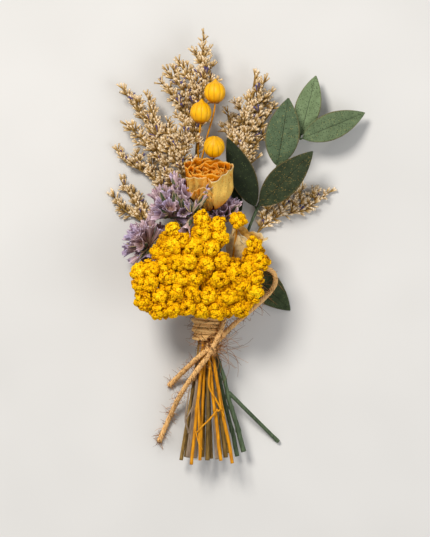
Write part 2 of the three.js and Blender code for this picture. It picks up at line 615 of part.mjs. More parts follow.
// Each spray is one stem that runs to its tip, with shoots that leave it on the way.
// A shoot is the place it leaves from and its tip.
const SPRAYS = [
  {
    name: "sea_lavender_tall", footRadius: 1.2, column: 0, row: 0, foot: [-13.2, 9.5], cut: 0,
    above: [[-16.4, -10, 12], [-20.4, 20, 9.4], [-20.6, 45, 10.5], [-17.6, 75, 12.5], [-16.7, 107.6, 12]],
    shoots: [
      [[-17.3, 83, 12.4], [-11.4, 91.4, 15]],
      [[-17.7, 72, 12.3], [-9.6, 84, 12]],
      [[-17, 90, 12.3], [-22.6, 99, 12]],
      [[-17.7, 73, 12.4], [-29.8, 94, 12]],
      [[-18.2, 67, 12], [-36.4, 90.2, 11]],
      [[-19, 58, 11.4], [-38.8, 83.6, 12]],
      [[-19.8, 51, 11], [-29.4, 74, 15]],
    ],
  },
  {
    name: "sea_lavender_left", footRadius: 0.95, column: -2, row: 0, foot: [-28, 9], cut: -0.8,
    above: [
      [-23.6, -16, 11], [-31, 15, 8], [-36.4, 42, 9], [-44.4, 59.6, 9], [-51.6, 70.6, 8], [-58, 80.6, 7],
    ],
    shoots: [
      [[-36.2, 42, 9], [-56.4, 62.8, 7]],
      [[-37.6, 46, 9], [-45.2, 77, 13]],
      [[-49, 67, 8.4], [-51.4, 75.4, 10]],
      [[-35.4, 36, 9], [-34.6, 65, 13]],
    ],
  },
  {
    name: "sea_lavender_left_low", footRadius: 1.1, column: -0.5, row: -1, foot: [-17.4, 5.5], cut: 0.6,
    above: [
      [-19.6, -14, 8.8], [-24, 0, 6.8], [-28.6, 13, 4.6], [-37, 29.6, 4.4], [-48, 38.6, 4],
      [-56.4, 43.4, 4], [-60.6, 49.4, 4],
    ],
    shoots: [
      [[-50, 39.8, 4], [-50.6, 48, 5]],
      [[-42, 34, 4.2], [-43.4, 45.6, 5]],
      [[-37.4, 30, 4.4], [-38, 41, 3]],
    ],
  },
  {
    name: "sea_lavender_lowest", footRadius: 1.05, column: -1.5, row: -1, foot: [-25.6, 5], cut: 0.6,
    above: [[-26, -18, 8], [-38.6, 0, 4], [-46.6, 15, 2.4], [-54.6, 27, 2], [-58.8, 35, 2]],
    shoots: [
      [[-44.4, 11, 2.8], [-57.6, 19.6, 2], [-62.8, 27.6, 2]],
      [[-50, 20, 2.3], [-51.6, 30.4, 2.8]],
    ],
  },
  {
    name: "sea_lavender_right", footRadius: 1.1, column: 0.5, row: -1, foot: [-8.4, 5.5], cut: 1.6,
    above: [[-11.4, -12, 8.4], [-6, 20, 7.2], [1.4, 44, 8], [6, 63.6, 9], [9.4, 88, 9]],
    shoots: [
      [[0.6, 42, 8], [-5.4, 70, 10]],
      [[3.8, 54, 8.4], [1.2, 74, 10]],
      [[3.2, 52, 8.4], [18.2, 79.2, 8]],
      [[5.6, 62, 9], [14.6, 84.6, 10]],
      [[2, 47, 8.2], [19, 70.6, 7]],
      [[0.2, 40, 8], [15.6, 58.6, 6]],
      [[-1.4, 35, 7.7], [11.6, 46, 6]],
    ],
  },
  {
    name: "sea_lavender_lower_right", footRadius: 1, column: 1, row: -2, foot: [-4, 1.2], cut: 2.6,
    above: [
      [-7, -22, 5], [1.4, -5.6, 2.2], [9, 5.6, 2.4], [18.6, 14.4, 2.8], [34.9, 19.6, 2.4], [48.2, 29, 2],
    ],
    shoots: [
      [[10.6, 7.4, 2.4], [17.4, 23.6, 4.6]],
      [[19.4, 14.8, 2.8], [27.2, 26.8, 4]],
      [[27.4, 17.4, 2.6], [33.6, 31, 3.6]],
      [[34.8, 19.6, 2.4], [39.2, 30, 3]],
    ],
  },
  {
    name: "sea_lavender_front", footRadius: 1.15, column: -1, row: -2, foot: [-21.6, 1.3], cut: 0.8,
    above: [
      [-20.6, -16, 5], [-23.4, -1, 3], [-25, 14, 7], [-26.8, 31, 13], [-27.6, 45, 18.6], [-25.4, 62, 21],
    ],
    shoots: [
      [[-26.4, 27, 12], [-38.4, 36.6, 14.5]],
      [[-27.4, 37.6, 15.8], [-36.4, 50.6, 18]],
      [[-27.6, 45, 18.6], [-33.2, 57.4, 20]],
      [[-27, 33, 13.8], [-22.6, 44.6, 18.6]],
      [[-27.4, 46, 18.8], [-22.6, 55.6, 23]],
    ],
  },
];

// A shoot is a bare twig at first, then swells with its rows of small flowers, and narrows
// to its tip.
const SHOOT_SWELLS_OVER = 0.3;
const SHOOT_NARROWS_OVER = 0.35;
function shootRadius(along) {
  const swelling = Math.min(1, along / SHOOT_SWELLS_OVER);
  const narrowing = Math.min(1, (1 - along) / SHOOT_NARROWS_OVER);
  const flowers = (SPRAY_SHOOT_RADIUS - SPRAY_TWIG_RADIUS) * swelling * Math.sqrt(narrowing);
  return SPRAY_TWIG_RADIUS + flowers;
}

function sprayShoot(points) {
  return tube(points, shootRadius, 5, points.length > 2 ? 2 : 4);
}

function spraySolid(spray) {
  const stem = stemTube({ ...spray, topRadius: SPRAY_STEM_TIP_RADIUS }, shootRadius);
  return joinSolids([stem, ...spray.shoots.map(sprayShoot)]);
}

// ---- twine -----------------------------------------------------------------------------

// The wound part: one helix that sits round the stems.
const WRAP_STEPS_PER_TURN = 10;
function twineWrap() {
  const radius = WOUND_TWINE_DIAMETER / 2;
  const steps = Math.round(WRAP_TURNS * WRAP_STEPS_PER_TURN);
  const route = [];
  for (let i = 0; i <= steps; i += 1) {
    const angle = 2 * Math.PI * i / WRAP_STEPS_PER_TURN + Math.PI / 2;
    const y = TIE_BOTTOM_Y + radius + (TIE_TOP_Y - TIE_BOTTOM_Y - 2 * radius) * i / steps;
    const core = 2 * STEM_PITCH * spreadAt(y) + STEM_RADIUS_AT_TIE + CLEARANCE;
    const reach = (core + radius) / Math.cos(Math.PI / WRAP_STEPS_PER_TURN);
    route.push([TIE_X + reach * Math.cos(angle), y, TIE_Z + reach * Math.sin(angle)]);
  }
  return tube(route, () => radius, 5, 1);
}

// The knot lies on the front of the stems, just under the wound part.
const KNOT_X = -12.6;
const KNOT_BELOW_WRAP = 3.6;
const KNOT_Y = TIE_BOTTOM_Y - KNOT_BELOW_WRAP;
const KNOT_HALF_DEPTH = (KNOT_RADIUS * 0.5 + KNOT_STRAND_RADIUS) * KNOT_FLATTENING;
const KNOT_Z = TIE_Z + CORE_RADIUS + CLEARANCE + KNOT_HALF_DEPTH;

function twineKnot() {
  const geometry = new THREE.TorusKnotGeometry(KNOT_RADIUS, KNOT_STRAND_RADIUS, 30, 6, 2, 3);
  geometry.scale(1, 1, KNOT_FLATTENING);
  geometry.translate(KNOT_X, KNOT_Y, KNOT_Z);
  return weld(geometry);
}

// Free twine, as a round section swept along its route, a little over two diameters a step.
const TWINE_STEP_IN_DIAMETERS = 2.2;
function twineRun(points) {
  const curve = smoothCurve(points);
  const section = new THREE.Shape();
  section.absarc(0, 0, TWINE_DIAMETER / 2, 0, 2 * Math.PI);
  const steps = Math.round(curve.getLength() / (TWINE_STEP_IN_DIAMETERS * TWINE_DIAMETER));
  const options = { extrudePath: curve, steps, bevelEnabled: false, curveSegments: 4 };
  return weld(new THREE.ExtrudeGeometry(section, options));
}

// The loop of the half bow leaves the knot to the right, curls on the lowest leaf and
// comes back under the yarrow.
const TWINE_LOOP = [
  [-9.2, -46.6, 20], [-5.4, -42.4, 18.8], [-1, -38.2, 17], [4, -34, 14.4], [9, -29.8, 11.4],
  [13.6, -25.6, 8.6], [17.2, -21.8, 7.2], [19.4, -17.4, 7], [18.4, -13, 7], [14.4, -10.6, 7.2],
  [9.8, -11.8, 8], [5.8, -15.6, 9.2], [2, -20.4, 10.6], [-1.6, -25.6, 12.6], [-4.6, -31, 15],
  [-6.6, -36.6, 17.6], [-8.4, -42.4, 20.6], [-10.4, -46.6, 23.2],
];
// Two cut tails leave it to the left, cross the stems and drop to the table.
const TWINE_SHORT_TAIL = [
  [-16.4, -52.4, 21.4], [-18.2, -54, 20.6], [-20.2, -55.8, 18.8], [-22.2, -57.8, 16], [-24.2, -59.8, 12.6],
  [-26.2, -61.8, 9.2], [-28.2, -63.8, 6.2], [-30.2, -65.8, 3.8], [-32.2, -67.8, 2.2], [-34.2, -69.8, 1.5],
];
const TWINE_LONG_TAIL = [
  [-14.6, -54.8, 21.6], [-16.6, -57.2, 21.4], [-18.8, -60, 20.6], [-21, -63, 19], [-23.2, -66.2, 16.8],
  [-25.4, -69.4, 14], [-27.4, -72.8, 11], [-29.4, -76.2, 8], [-31.2, -79.8, 5.4], [-32.8, -83.4, 3.4],
  [-34.4, -87, 2.1], [-36, -90.6, 1.5], [-37.6, -94.2, 1.4], [-39.2, -97.8, 1.4],
];

// ---- putting the bunch together --------------------------------------------------------

// Soft heads give way to the flowers that were put in before them.
const taken = ROSES.map(roseEnvelope);
const fitAround = (solid) => taken.reduce((left, neighbour) => left.subtract(neighbour), solid);

ROSES.forEach(addRose);

for (const head of YARROW) {
  const stem = { ...head.stem, footRadius: YARROW_FOOT_RADIUS, topRadius: STEM_RADIUS_AT_TIE };
  addMesh(bunch, `yarrow_stem_${head.name}`, stemTube(stem), DYED_STEM);
  addMesh(bunch, `yarrow_head_${head.name}`, toGeometry(fitAround(yarrowHead(head))), YARROW_YELLOW);
  taken.push(yarrowHead(head, CLEARANCE));
}

for (const head of STATICE) {
  const stem = { ...head.stem, footRadius: head.foot, topRadius: STATICE_THROAT_RADIUS };
  addMesh(bunch, `${head.name}_stem`, stemTube(stem), GREY_STEM);
  addMesh(bunch, `${head.name}_flowers`, toGeometry(fitAround(staticeHead(head))), STATICE_MAUVE);
}

addMesh(bunch, "pod_stem", toGeometry(podStem()), DYED_STEM);
PODS.forEach((pod, index) => {
  addMesh(placedGroup(pod.base, podTip(pod)), `seed_pod_${index + 1}`, podBody(), POD_YELLOW);
});

for (const stem of EUCALYPTUS_STEMS) {
  addMesh(bunch, stem.name, stemTube(stem), GREEN_STEM);
}
addMesh(bunch, "eucalyptus_side_twig", sideTwig(EUCALYPTUS_STEMS[0]), GREEN_STEM);
LEAVES.forEach((leaf, index) => {
  addMesh(bunch, `eucalyptus_leaf_${index + 1}`, leafBlade(leaf), LEAF_GREEN);
});

for (const spray of SPRAYS) {
  addMesh(bunch, spray.name, toGeometry(spraySolid(spray)), SPRAY_CREAM);
}

addMesh(bunch, "twine_wrap", twineWrap(), JUTE);
addMesh(bunch, "twine_knot", twineKnot(), JUTE);
addMesh(bunch, "twine_loop", twineRun(TWINE_LOOP), JUTE);
addMesh(bunch, "twine_short_tail", twineRun(TWINE_SHORT_TAIL), JUTE);
addMesh(bunch, "twine_long_tail", twineRun(TWINE_LONG_TAIL), JUTE);

export default bunch;
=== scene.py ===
# The looks of a small hand-tied bunch of dried flowers that lies on its back on a pale table.
# Shapes are worked out in millimetres in the part's own frame and turned into metres when a mesh is made.
import math

import bpy
import numpy as np
from mathutils import Matrix


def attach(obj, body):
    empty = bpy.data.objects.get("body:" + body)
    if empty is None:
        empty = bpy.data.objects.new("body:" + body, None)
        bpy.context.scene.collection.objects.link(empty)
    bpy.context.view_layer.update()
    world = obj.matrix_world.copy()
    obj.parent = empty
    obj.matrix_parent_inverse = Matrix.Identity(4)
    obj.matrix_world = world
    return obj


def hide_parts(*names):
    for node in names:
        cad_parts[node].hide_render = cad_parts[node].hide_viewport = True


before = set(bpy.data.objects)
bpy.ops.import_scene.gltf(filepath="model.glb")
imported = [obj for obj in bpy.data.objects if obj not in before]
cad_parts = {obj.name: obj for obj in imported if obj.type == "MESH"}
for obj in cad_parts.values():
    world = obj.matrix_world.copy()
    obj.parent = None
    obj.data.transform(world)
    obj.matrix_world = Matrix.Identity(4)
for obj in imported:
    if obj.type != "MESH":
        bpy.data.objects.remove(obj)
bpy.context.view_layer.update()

MM = 0.001
UP = np.array([0.0, 0.0, 1.0])
FLOOR_GAP = 0.12


# ---- curves and directions ---------------------------------------------------------------------


def point(*values):
    return np.array(values, float)


def unit(vector):
    return vector / max(np.linalg.norm(vector), 1e-12)


def smooth_curve(points, steps):
    """A centripetal Catmull-Rom curve through the points, with this many steps for each span."""
    given = np.array(points, float)
    ends = 2 * given[0] - given[1], 2 * given[-1] - given[-2]
    knots = np.vstack([ends[0], given, ends[1]])
    found = []
    for i in range(1, len(knots) - 2):
        a, b, c, d = knots[i - 1:i + 3]
        before, here, after = (math.sqrt(np.linalg.norm(q - p)) for p, q in ((a, b), (b, c), (c, d)))
        start = ((b - a) / before - (c - a) / (before + here) + (c - b) / here) * here
        end = ((c - b) / here - (d - b) / (here + after) + (d - c) / after) * here
        t = np.linspace(0, 1, steps, endpoint=False)[:, None]
        square = 3 * (c - b) - 2 * start - end
        cube = 2 * (b - c) + start + end
        found.append(b + start * t + square * t**2 + cube * t**3)
    return np.vstack([*found, knots[-2:-1]])


def lengths_along(path):
    return np.concatenate([[0], np.cumsum(np.linalg.norm(np.diff(path, axis=0), axis=1))])


def evenly(path, step):
    """The same line with its points an even step apart."""
    travelled = lengths_along(path)
    count = max(2, int(round(travelled[-1] / step)) + 1)
    wanted = np.linspace(0, travelled[-1], count)
    return np.stack([np.interp(wanted, travelled, path[:, k]) for k in range(3)], axis=1)


def tangents_of(path):
    along = np.gradient(path, axis=0)
    return along / np.maximum(np.linalg.norm(along, axis=1, keepdims=True), 1e-9)


def transported(path):
    """Two directions across the path at each of its points, which don't twist along it."""
    tangents = tangents_of(path)
    side = np.cross(tangents[0], UP if abs(tangents[0][2]) < 0.8 else point(0, 1, 0))
    sides = []
    for tangent in tangents:
        side = unit(side - np.dot(side, tangent) * tangent)
        sides.append(side)
    sides = np.array(sides)
    return sides, np.cross(sides, tangents)


def basis(direction, hint=UP):
    """Columns: across, towards the hint, and the direction itself."""
    forward = unit(direction)
    across = np.cross(hint, forward)
    if np.linalg.norm(across) < 1e-4:
        across = np.cross(point(1, 0, 0), forward)
    across = unit(across)
    return np.column_stack([across, np.cross(forward, across), forward])


def turned_from_y(direction):
    """The rotation that takes +Y straight to the direction."""
    target = unit(direction)
    axis = np.cross(point(0, 1, 0), target)
    cross = np.array([[0, -axis[2], axis[1]], [axis[2], 0, -axis[0]], [-axis[1], axis[0], 0]])
    return np.eye(3) + cross + cross @ cross / (1 + target[1])


def rotated(vector, axis, angle):
    axis = unit(axis)
    turned = vector * math.cos(angle) + np.cross(axis, vector) * math.sin(angle)
    return turned + axis * np.dot(axis, vector) * (1 - math.cos(angle))


# ---- gathering a piece's mesh ------------------------------------------------------------------


class Template:
    """A small closed shape that is placed many times: it points along +Z and is one unit long."""

    def __init__(self, points, faces, along):
        self.points = np.array(points, float)
        self.faces = [np.array(f, int) for f in faces]
        self.along = np.array(along, float)


def ring_faces(rings, sides, first=0):
    """The quads between rings of points, where each ring is closed."""
    i, k = np.meshgrid(np.arange(rings - 1), np.arange(sides), indexing="ij")
    after = (k + 1) % sides
    here, above = i * sides, (i + 1) * sides
    quads = np.stack([here + k, here + after, above + after, above + k], axis=-1)
    return quads.reshape(-1, 4) + first


def fan_faces(centre, ring, reverse):
    after = np.roll(ring, -1)
    middle = np.full(len(ring), centre)
    return np.stack([middle, after, ring] if reverse else [middle, ring, after], axis=-1)


def spread_over(values, rows, columns):
    """One value for all, one for each row, or one for each point, as a full table."""
    values = np.asarray(values, float)
    if values.ndim == 1:
        values = values[:, None]
    return np.broadcast_to(values, (rows, columns))


class Shape:
    """Collects the parts of one piece. Each point has a tone and a place along its part, which colour it.
    A part's own square of the map is one island; sprinkled parts share the map by tone and place along."""

    def __init__(self):
        self.points, self.tone, self.along = [], [], []
        self.faces, self.maps, self.slots, self.islands = [], [], [], []
        self.count = 0
        self.island_count = 0

    def _points(self, points, tone, along):
        first = self.count
        points = np.asarray(points, float).reshape(-1, 3)
        self.points.append(points)
        self.tone.append(np.broadcast_to(tone, len(points)).astype(float))
        self.along.append(np.broadcast_to(along, len(points)).astype(float))
        self.count += len(points)
        return first

    def _faces(self, faces, maps, slot, island):
        self.faces.append(faces)
        self.maps.append(maps)
        self.slots.append(np.full(len(faces), slot))
        self.islands.append(np.full(len(faces), island))

    def _wall(self, rings, sides, first, slot):
        """The quads between closed rings of points, on a new island of the map. Returns its number."""
        island = self.island_count
        self.island_count += 1
        i, k = np.meshgrid(np.arange(rings - 1), np.arange(sides), indexing="ij")
        corners = [(i, k), (i, k + 1), (i + 1, k + 1), (i + 1, k)]
        spots = np.stack([np.stack([c[1] / sides, c[0] / (rings - 1)], axis=-1) for c in corners], axis=2)
        self._faces(ring_faces(rings, sides, first), spots.reshape(-1, 4, 2), slot, island)
        return island

    def rings(self, grid, tone=0.5, along=None, slot=0, caps=(0.0, 0.0)):
        """A closed skin over rings of points, (rings, sides, 3). caps push the middle of each end out."""
        rings, sides = grid.shape[:2]
        if along is None:
            along = np.linspace(0, 1, rings)
        along = spread_over(along, rings, sides)
        tone = spread_over(tone, rings, sides)
        first = self._points(grid, tone.ravel(), along.ravel())
        island = self._wall(rings, sides, first, slot)
        for end, push in zip((0, rings - 1), caps):
            middle = grid[end].mean(axis=0)
            outward = unit(middle - grid[1 if end == 0 else end - 1].mean(axis=0))
            centre = self._points(middle + outward * push, tone[end].mean(), along[end].mean())
            ring = first + end * sides + np.arange(sides)
            v = end / (rings - 1)
            share = np.arange(sides) / sides
            spots = np.stack([np.stack([share, np.full(sides, v)], axis=-1)] * 3, axis=1)
            self._faces(fan_faces(centre, ring, end == 0), spots, slot, island)

    def tube(self, path, radius, sides=8, tone=0.5, along=None, slot=0, round_end=0.5):
        """A tube along a path. radius is one number, one for each point, or one for each point and side."""
        side, up = transported(path)
        angle = np.linspace(0, 2 * np.pi, sides, endpoint=False)[None, :, None]
        radius = np.asarray(radius, float)
        radius = np.broadcast_to(radius if radius.ndim == 2 else radius.reshape(-1, 1), (len(path), sides))
        ring = side[:, None] * np.cos(angle) + up[:, None] * np.sin(angle)
        grid = path[:, None] + ring * radius[..., None]
        ends = radius[0].mean() * round_end, radius[-1].mean() * round_end
        self.rings(grid, tone, along, slot, ends)

    def sheet(self, grid, thickness, tone=0.5, along=None, slot=0):
        """A thin closed sheet over a grid of points, (up, across, 3)."""
        rows, columns = grid.shape[:2]
        up = np.gradient(grid, axis=0)
        across = np.gradient(grid, axis=1)
        face = np.cross(across, up)
        face /= np.maximum(np.linalg.norm(face, axis=2, keepdims=True), 1e-9)
        half = spread_over(thickness, rows, columns)[..., None] / 2
        both = np.concatenate([grid + face * half, (grid - face * half)[:, ::-1]], axis=1)
        tone = spread_over(tone, rows, columns)
        along = spread_over(np.linspace(0, 1, rows) if along is None else along, rows, columns)
        first = self._points(both, *(np.hstack([v, v[:, ::-1]]).ravel() for v in (tone, along)))
        sides = 2 * columns
        island = self._wall(rows, sides, first, slot)
        j = np.arange(columns - 1)
        for row, reverse in ((0, True), (rows - 1, False)):
            quads = np.stack([j, j + 1, sides - 2 - j, sides - 1 - j], axis=-1) + row * sides + first
            v = np.full(len(j), row / (rows - 1))
            ends = [np.stack([(j + extra) / sides, v], axis=-1) for extra in (0, 1, 1, 0)]
            spots = np.stack(ends, axis=1)
            self._faces(quads[:, ::-1] if reverse else quads, spots, slot, island)

    def put(self, template, origins, bases, scales, tones, slot=0, band=(0.0, 1.0), reach=1.0):
        """Places many copies of a template. They share the map: tone runs across a band of it.
        reach cuts short how far along its colours each copy goes, which darkens it: painted shade."""
        count, size = len(origins), len(template.points)
        scales = np.asarray(scales, float).reshape(count, -1)
        local = template.points[None] * scales[:, None, :]
        placed = np.einsum("mij,mkj->mki", np.asarray(bases), local) + np.asarray(origins)[:, None]
        tones = np.clip(np.asarray(tones, float), 0, 1)
        tone = np.repeat(tones, size)
        along = np.tile(template.along, count) * np.repeat(np.broadcast_to(reach, count), size)
        first = self._points(placed, tone, along)
        for faces in template.faces:
            offset = first + np.arange(count)[:, None, None] * size
            every = (faces[None] + offset).reshape(-1, faces.shape[1])
            spread = 0.01 + 0.98 * (band[0] + (band[1] - band[0]) * tone[every - first])
            nudge = np.linspace(0, 0.004, faces.shape[1])
            spots = np.stack([spread + nudge, 0.02 + 0.96 * along[every - first]], axis=-1)
            self._faces(every, spots, slot, -1)

    def map_spots(self):
        """Each island gets its own square cell of the map."""
        across = max(1, math.ceil(math.sqrt(self.island_count)))
        placed = []
        for faces, spots, islands in zip(self.faces, self.maps, self.islands):
            if len(faces) and islands[0] >= 0:
                cell = np.stack([islands % across, islands // across], axis=-1)[:, None]
                spots = (cell + 0.03 + 0.94 * spots) / across
            placed.append(spots.reshape(-1, 2))
        return np.concatenate(placed)

    def object(self, name, materials):
        points = np.concatenate(self.points)
        points[:, 2] = np.maximum(points[:, 2], FLOOR_GAP)
        loops = np.concatenate([f.ravel() for f in self.faces])
        sizes = np.concatenate([np.full(len(f), f.shape[1]) for f in self.faces])
        mesh = bpy.data.meshes.new(name)
        mesh.vertices.add(len(points))
        mesh.vertices.foreach_set("co", (points * MM).astype(np.float32).ravel())
        mesh.loops.add(len(loops))
        mesh.loops.foreach_set("vertex_index", loops.astype(np.int32))
        mesh.polygons.add(len(sizes))
        mesh.polygons.foreach_set("loop_start", np.concatenate([[0], np.cumsum(sizes)[:-1]]).astype(np.int32))
        mesh.update(calc_edges=True)
        for label, values in (("tone", self.tone), ("along", self.along)):
            attribute = mesh.attributes.new(label, "FLOAT", "POINT")
            attribute.data.foreach_set("value", np.concatenate(values).astype(np.float32))
        layer = mesh.uv_layers.new(name="OFBake")
        layer.data.foreach_set("uv", self.map_spots().astype(np.float32).ravel())
        mesh.polygons.foreach_set("material_index", np.concatenate(self.slots).astype(np.int32))
        mesh.polygons.foreach_set("use_smooth", np.ones(len(sizes), bool))
        for material in materials:
            mesh.materials.append(material)
        mesh.update()
        made = bpy.data.objects.new(name, mesh)
        bpy.context.scene.collection.objects.link(made)
        return made


def stand_in(shape, name, materials, slot, *nodes):
    """The finished piece: it rides with the bunch and stands for these CAD nodes."""
    made = shape.object(name, materials)
    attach(made, "root")
    if nodes:
        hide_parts(*nodes)
    return made


# ---- materials ---------------------------------------------------------------------------------


class Nodes:
    """Short names for the shader nodes that the materials here are made of."""

    def __init__(self, name, roughness, sheen=0.0, specular=0.3):
        self.material = bpy.data.materials.new(name)
        self.material.use_nodes = True
        self.tree = self.material.node_tree
        self.shader = self.tree.nodes["Principled BSDF"]
        self.shader.inputs["Roughness"].default_value = roughness
        self.shader.inputs["Specular IOR Level"].default_value = specular
        self.shader.inputs["Sheen Weight"].default_value = sheen

    def _join(self, socket, value):
        if isinstance(value, bpy.types.NodeSocket):
            self.tree.links.new(value, socket)
        elif isinstance(value, tuple) and len(value) == 3 and socket.type == "RGBA":
            socket.default_value = (*value, 1)
        else:
            socket.default_value = value

    def attribute(self, name):
        node = self.tree.nodes.new("ShaderNodeAttribute")
        node.attribute_name = name
        return node.outputs["Fac"]

    def place(self, stretch=(1, 1, 1)):
        """Object coordinates in millimetres, stretched."""
        coordinates = self.tree.nodes.new("ShaderNodeTexCoord")
        mapping = self.tree.nodes.new("ShaderNodeMapping")
        mapping.inputs["Scale"].default_value = [s / MM for s in stretch]
        self.tree.links.new(coordinates.outputs["Object"], mapping.inputs["Vector"])
        return mapping.outputs["Vector"]

    def noise(self, scale, detail=3.0, stretch=(1, 1, 1), roughness=0.6):
        """Noise whose features are about 1/scale millimetres wide."""
        node = self.tree.nodes.new("ShaderNodeTexNoise")
        self._join(node.inputs["Vector"], self.place(stretch))
        node.inputs["Scale"].default_value = scale
        node.inputs["Detail"].default_value = detail
        node.inputs["Roughness"].default_value = roughness
        return node.outputs["Fac"]

    def cells(self, scale):
        """Distance from the nearest of many scattered spots."""
        node = self.tree.nodes.new("ShaderNodeTexVoronoi")
        self._join(node.inputs["Vector"], self.place())
        node.inputs["Scale"].default_value = scale
        return node.outputs["Distance"]

    def math(self, operation, a, b):
        node = self.tree.nodes.new("ShaderNodeMath")
        node.operation = operation
        self._join(node.inputs[0], a)
        self._join(node.inputs[1], b)
        return node.outputs[0]

    def between(self, value, low, high):
        """0 below low, 1 above high."""
        node = self.tree.nodes.new("ShaderNodeMapRange")
        self._join(node.inputs["Value"], value)
        node.inputs["From Min"].default_value = low
        node.inputs["From Max"].default_value = high
        return node.outputs["Result"]

    def ramp(self, value, stops):
        node = self.tree.nodes.new("ShaderNodeValToRGB")
        elements = node.color_ramp.elements
        while len(elements) < len(stops):
            elements.new(0.5)
        for element, (position, colour) in zip(elements, stops):
            element.position = position
            element.color = (*colour, 1)
        self._join(node.inputs["Fac"], value)
        return node.outputs["Color"]

    def mix(self, share, a, b):
        node = self.tree.nodes.new("ShaderNodeMix")
        node.data_type = "RGBA"
        self._join(node.inputs["Factor"], share)
        self._join(node.inputs[6], a)
        self._join(node.inputs[7], b)
        return node.outputs[2]

    def over(self, body, cover, strength, colour):
        """The body with a colour laid over it where cover is 1, at this strength."""
        return self.mix(self.math("MULTIPLY", cover, strength), body, rgb(colour))

    def colour(self, value):
        self._join(self.shader.inputs["Base Color"], value)

    def bump(self, height, depth):
        """Relief of this many millimetres where height goes from 0 to 1."""
        node = self.tree.nodes.new("ShaderNodeBump")
        node.inputs["Distance"].default_value = depth * MM
        self._join(node.inputs["Height"], height)
        self.tree.links.new(node.outputs["Normal"], self.shader.inputs["Normal"])


def rgb(text):
    """A colour written as six hexadecimal digits, as linear light."""
    values = [int(text[i:i + 2], 16) / 255 for i in (0, 2, 4)]
    return tuple(v / 12.92 if v <= 0.04045 else ((v + 0.055) / 1.055) ** 2.4 for v in values)


def stops(*pairs):
    return [(position, rgb(text)) for position, text in pairs]


def calyx_material():
    """Straw tubes: olive brown at the base, cream at the open tip."""
    n = Nodes("calyx", 0.85, specular=0.15)
    along = n.attribute("along")
    dull = n.ramp(along, stops((0, "33230a"), (0.3, "6b4e1e"), (0.62, "a07d44"), (1, "cfb487")))
    bright = n.ramp(along, stops((0, "553a10"), (0.28, "966f2c"), (0.6, "cfab6c"), (0.92, "fbe6c6")))
    n.colour(n.mix(n.attribute("tone"), dull, bright))
    return n.material


def violet_material():
    n = Nodes("violet_floret", 0.8, sheen=0.3)
    n.colour(n.ramp(n.attribute("along"), stops((0, "6a5330"), (0.5, "5a4768"), (1, "453a70"))))
    return n.material


def twig_material():
    n = Nodes("sea_lavender_twig", 0.8)
    n.colour(n.ramp(n.noise(0.5), stops((0.3, "5c4219"), (0.7, "a17c39"))))
    return n.material


def yarrow_material():
    """Crumpled golden heads. The orange brown where they fold in and down the lower side of each knob is
    painted shade.
    """
    n = Nodes("yarrow_gold", 0.85, specular=0.08)
    along = n.attribute("along")
    golden = n.ramp(along, stops((0.02, "542600"), (0.28, "b87800"), (0.55, "e8aa00"), (0.95, "fcc600")))
    lemon = n.ramp(along, stops((0.02, "663200"), (0.28, "cc8c00"), (0.55, "f6bc00"), (0.95, "ffe020")))
    n.colour(n.mix(n.attribute("tone"), golden, lemon))
    return n.material


def stem_material(name, dark, light, roughness):
    """A dry stem: fine streaks along it, darker scars, and a paler cut end."""
    n = Nodes(name, roughness, specular=0.22)
    fine = n.noise(1.6, 4, (1, 0.08, 1))
    body = n.ramp(fine, stops((0.3, dark), (0.7, light)))
    patches = n.between(n.noise(0.16, 2), 0.5, 0.72)
    n.colour(n.over(body, patches, 0.45, dark))
    n.bump(fine, 0.12)
    return n.material


def leaf_material(name, base, dark, speck, speck_share):
    """A preserved leaf: mottled, stippled dark, with ochre dots, a midrib and a worn brown edge."""
    n = Nodes(name, 0.75, specular=0.18)
    across = n.attribute("tone")
    mottle = n.noise(0.22, 5, roughness=0.7)
    body = n.ramp(mottle, stops((0.34, dark), (0.66, base)))
    grain = n.noise(3.0, 3)
    body = n.over(body, n.between(grain, 0.42, 0.7), 0.5, dark)
    stipple = n.between(n.cells(1.15), 0.36, 0.2)
    body = n.over(body, stipple, 0.75, "1d2416")
    dots = n.between(n.cells(1.3), 0.3, 0.17)
    chosen = n.between(n.noise(0.5, 1), speck_share, speck_share + 0.05)
    body = n.over(body, n.math("MULTIPLY", dots, chosen), 0.6, speck)
    rib = n.between(across, 0.05, 0.012)
    body = n.over(body, rib, 0.7, "191f12")
    worn = n.math("ADD", across, n.math("MULTIPLY", mottle, 0.16))
    n.colour(n.over(body, n.between(worn, 0.98, 1.06), 0.6, "6d5c34"))
    n.bump(n.math("ADD", grain, n.math("MULTIPLY", mottle, 1.5)), 0.22)
    return n.material


def petal_material(name, shade_deep, middle, edge, outside, spot):
    """A dried petal: a dark colour low down on the inner side, which is painted shade low in the cup, a
    bright thin rim, tan outsides with brown flecks.
    """
    n = Nodes(name, 0.8, specular=0.06)
    crinkle = n.noise(0.55, 7, roughness=0.75)
    drift = n.math("MULTIPLY", n.math("SUBTRACT", crinkle, 0.5), 0.3)
    height = n.attribute("along")
    outer = n.between(n.attribute("tone"), 0.15, 0.9)
    # Below 0.7 of the way up, the inner side takes the dark colour: painted shade low in the cup.
    body = n.ramp(n.math("ADD", height, drift), stops((0.7, shade_deep), (0.96, middle), (1, middle)))
    pale = n.ramp(n.math("ADD", height, drift), stops((0.0, middle), (0.35, outside), (0.95, outside)))
    body = n.mix(outer, body, pale)
    folds = n.noise(0.9, 4, (1, 0.3, 0.3), roughness=0.7)
    body = n.over(body, n.between(folds, 0.52, 0.68), 0.5, middle)
    blotches = n.between(n.noise(0.22, 3), 0.56, 0.7)
    body = n.over(body, blotches, 0.25, spot)
    flecks = n.between(n.noise(1.7, 2), 0.63, 0.69)
    body = n.over(body, flecks, 0.8, spot)
    rim = n.mix(outer, rgb("ffbe50"), rgb(edge))
    n.colour(n.mix(n.between(height, 0.962, 0.995), body, rim))
    n.bump(n.math("ADD", crinkle, n.math("MULTIPLY", folds, 0.6)), 1.6)
    return n.material


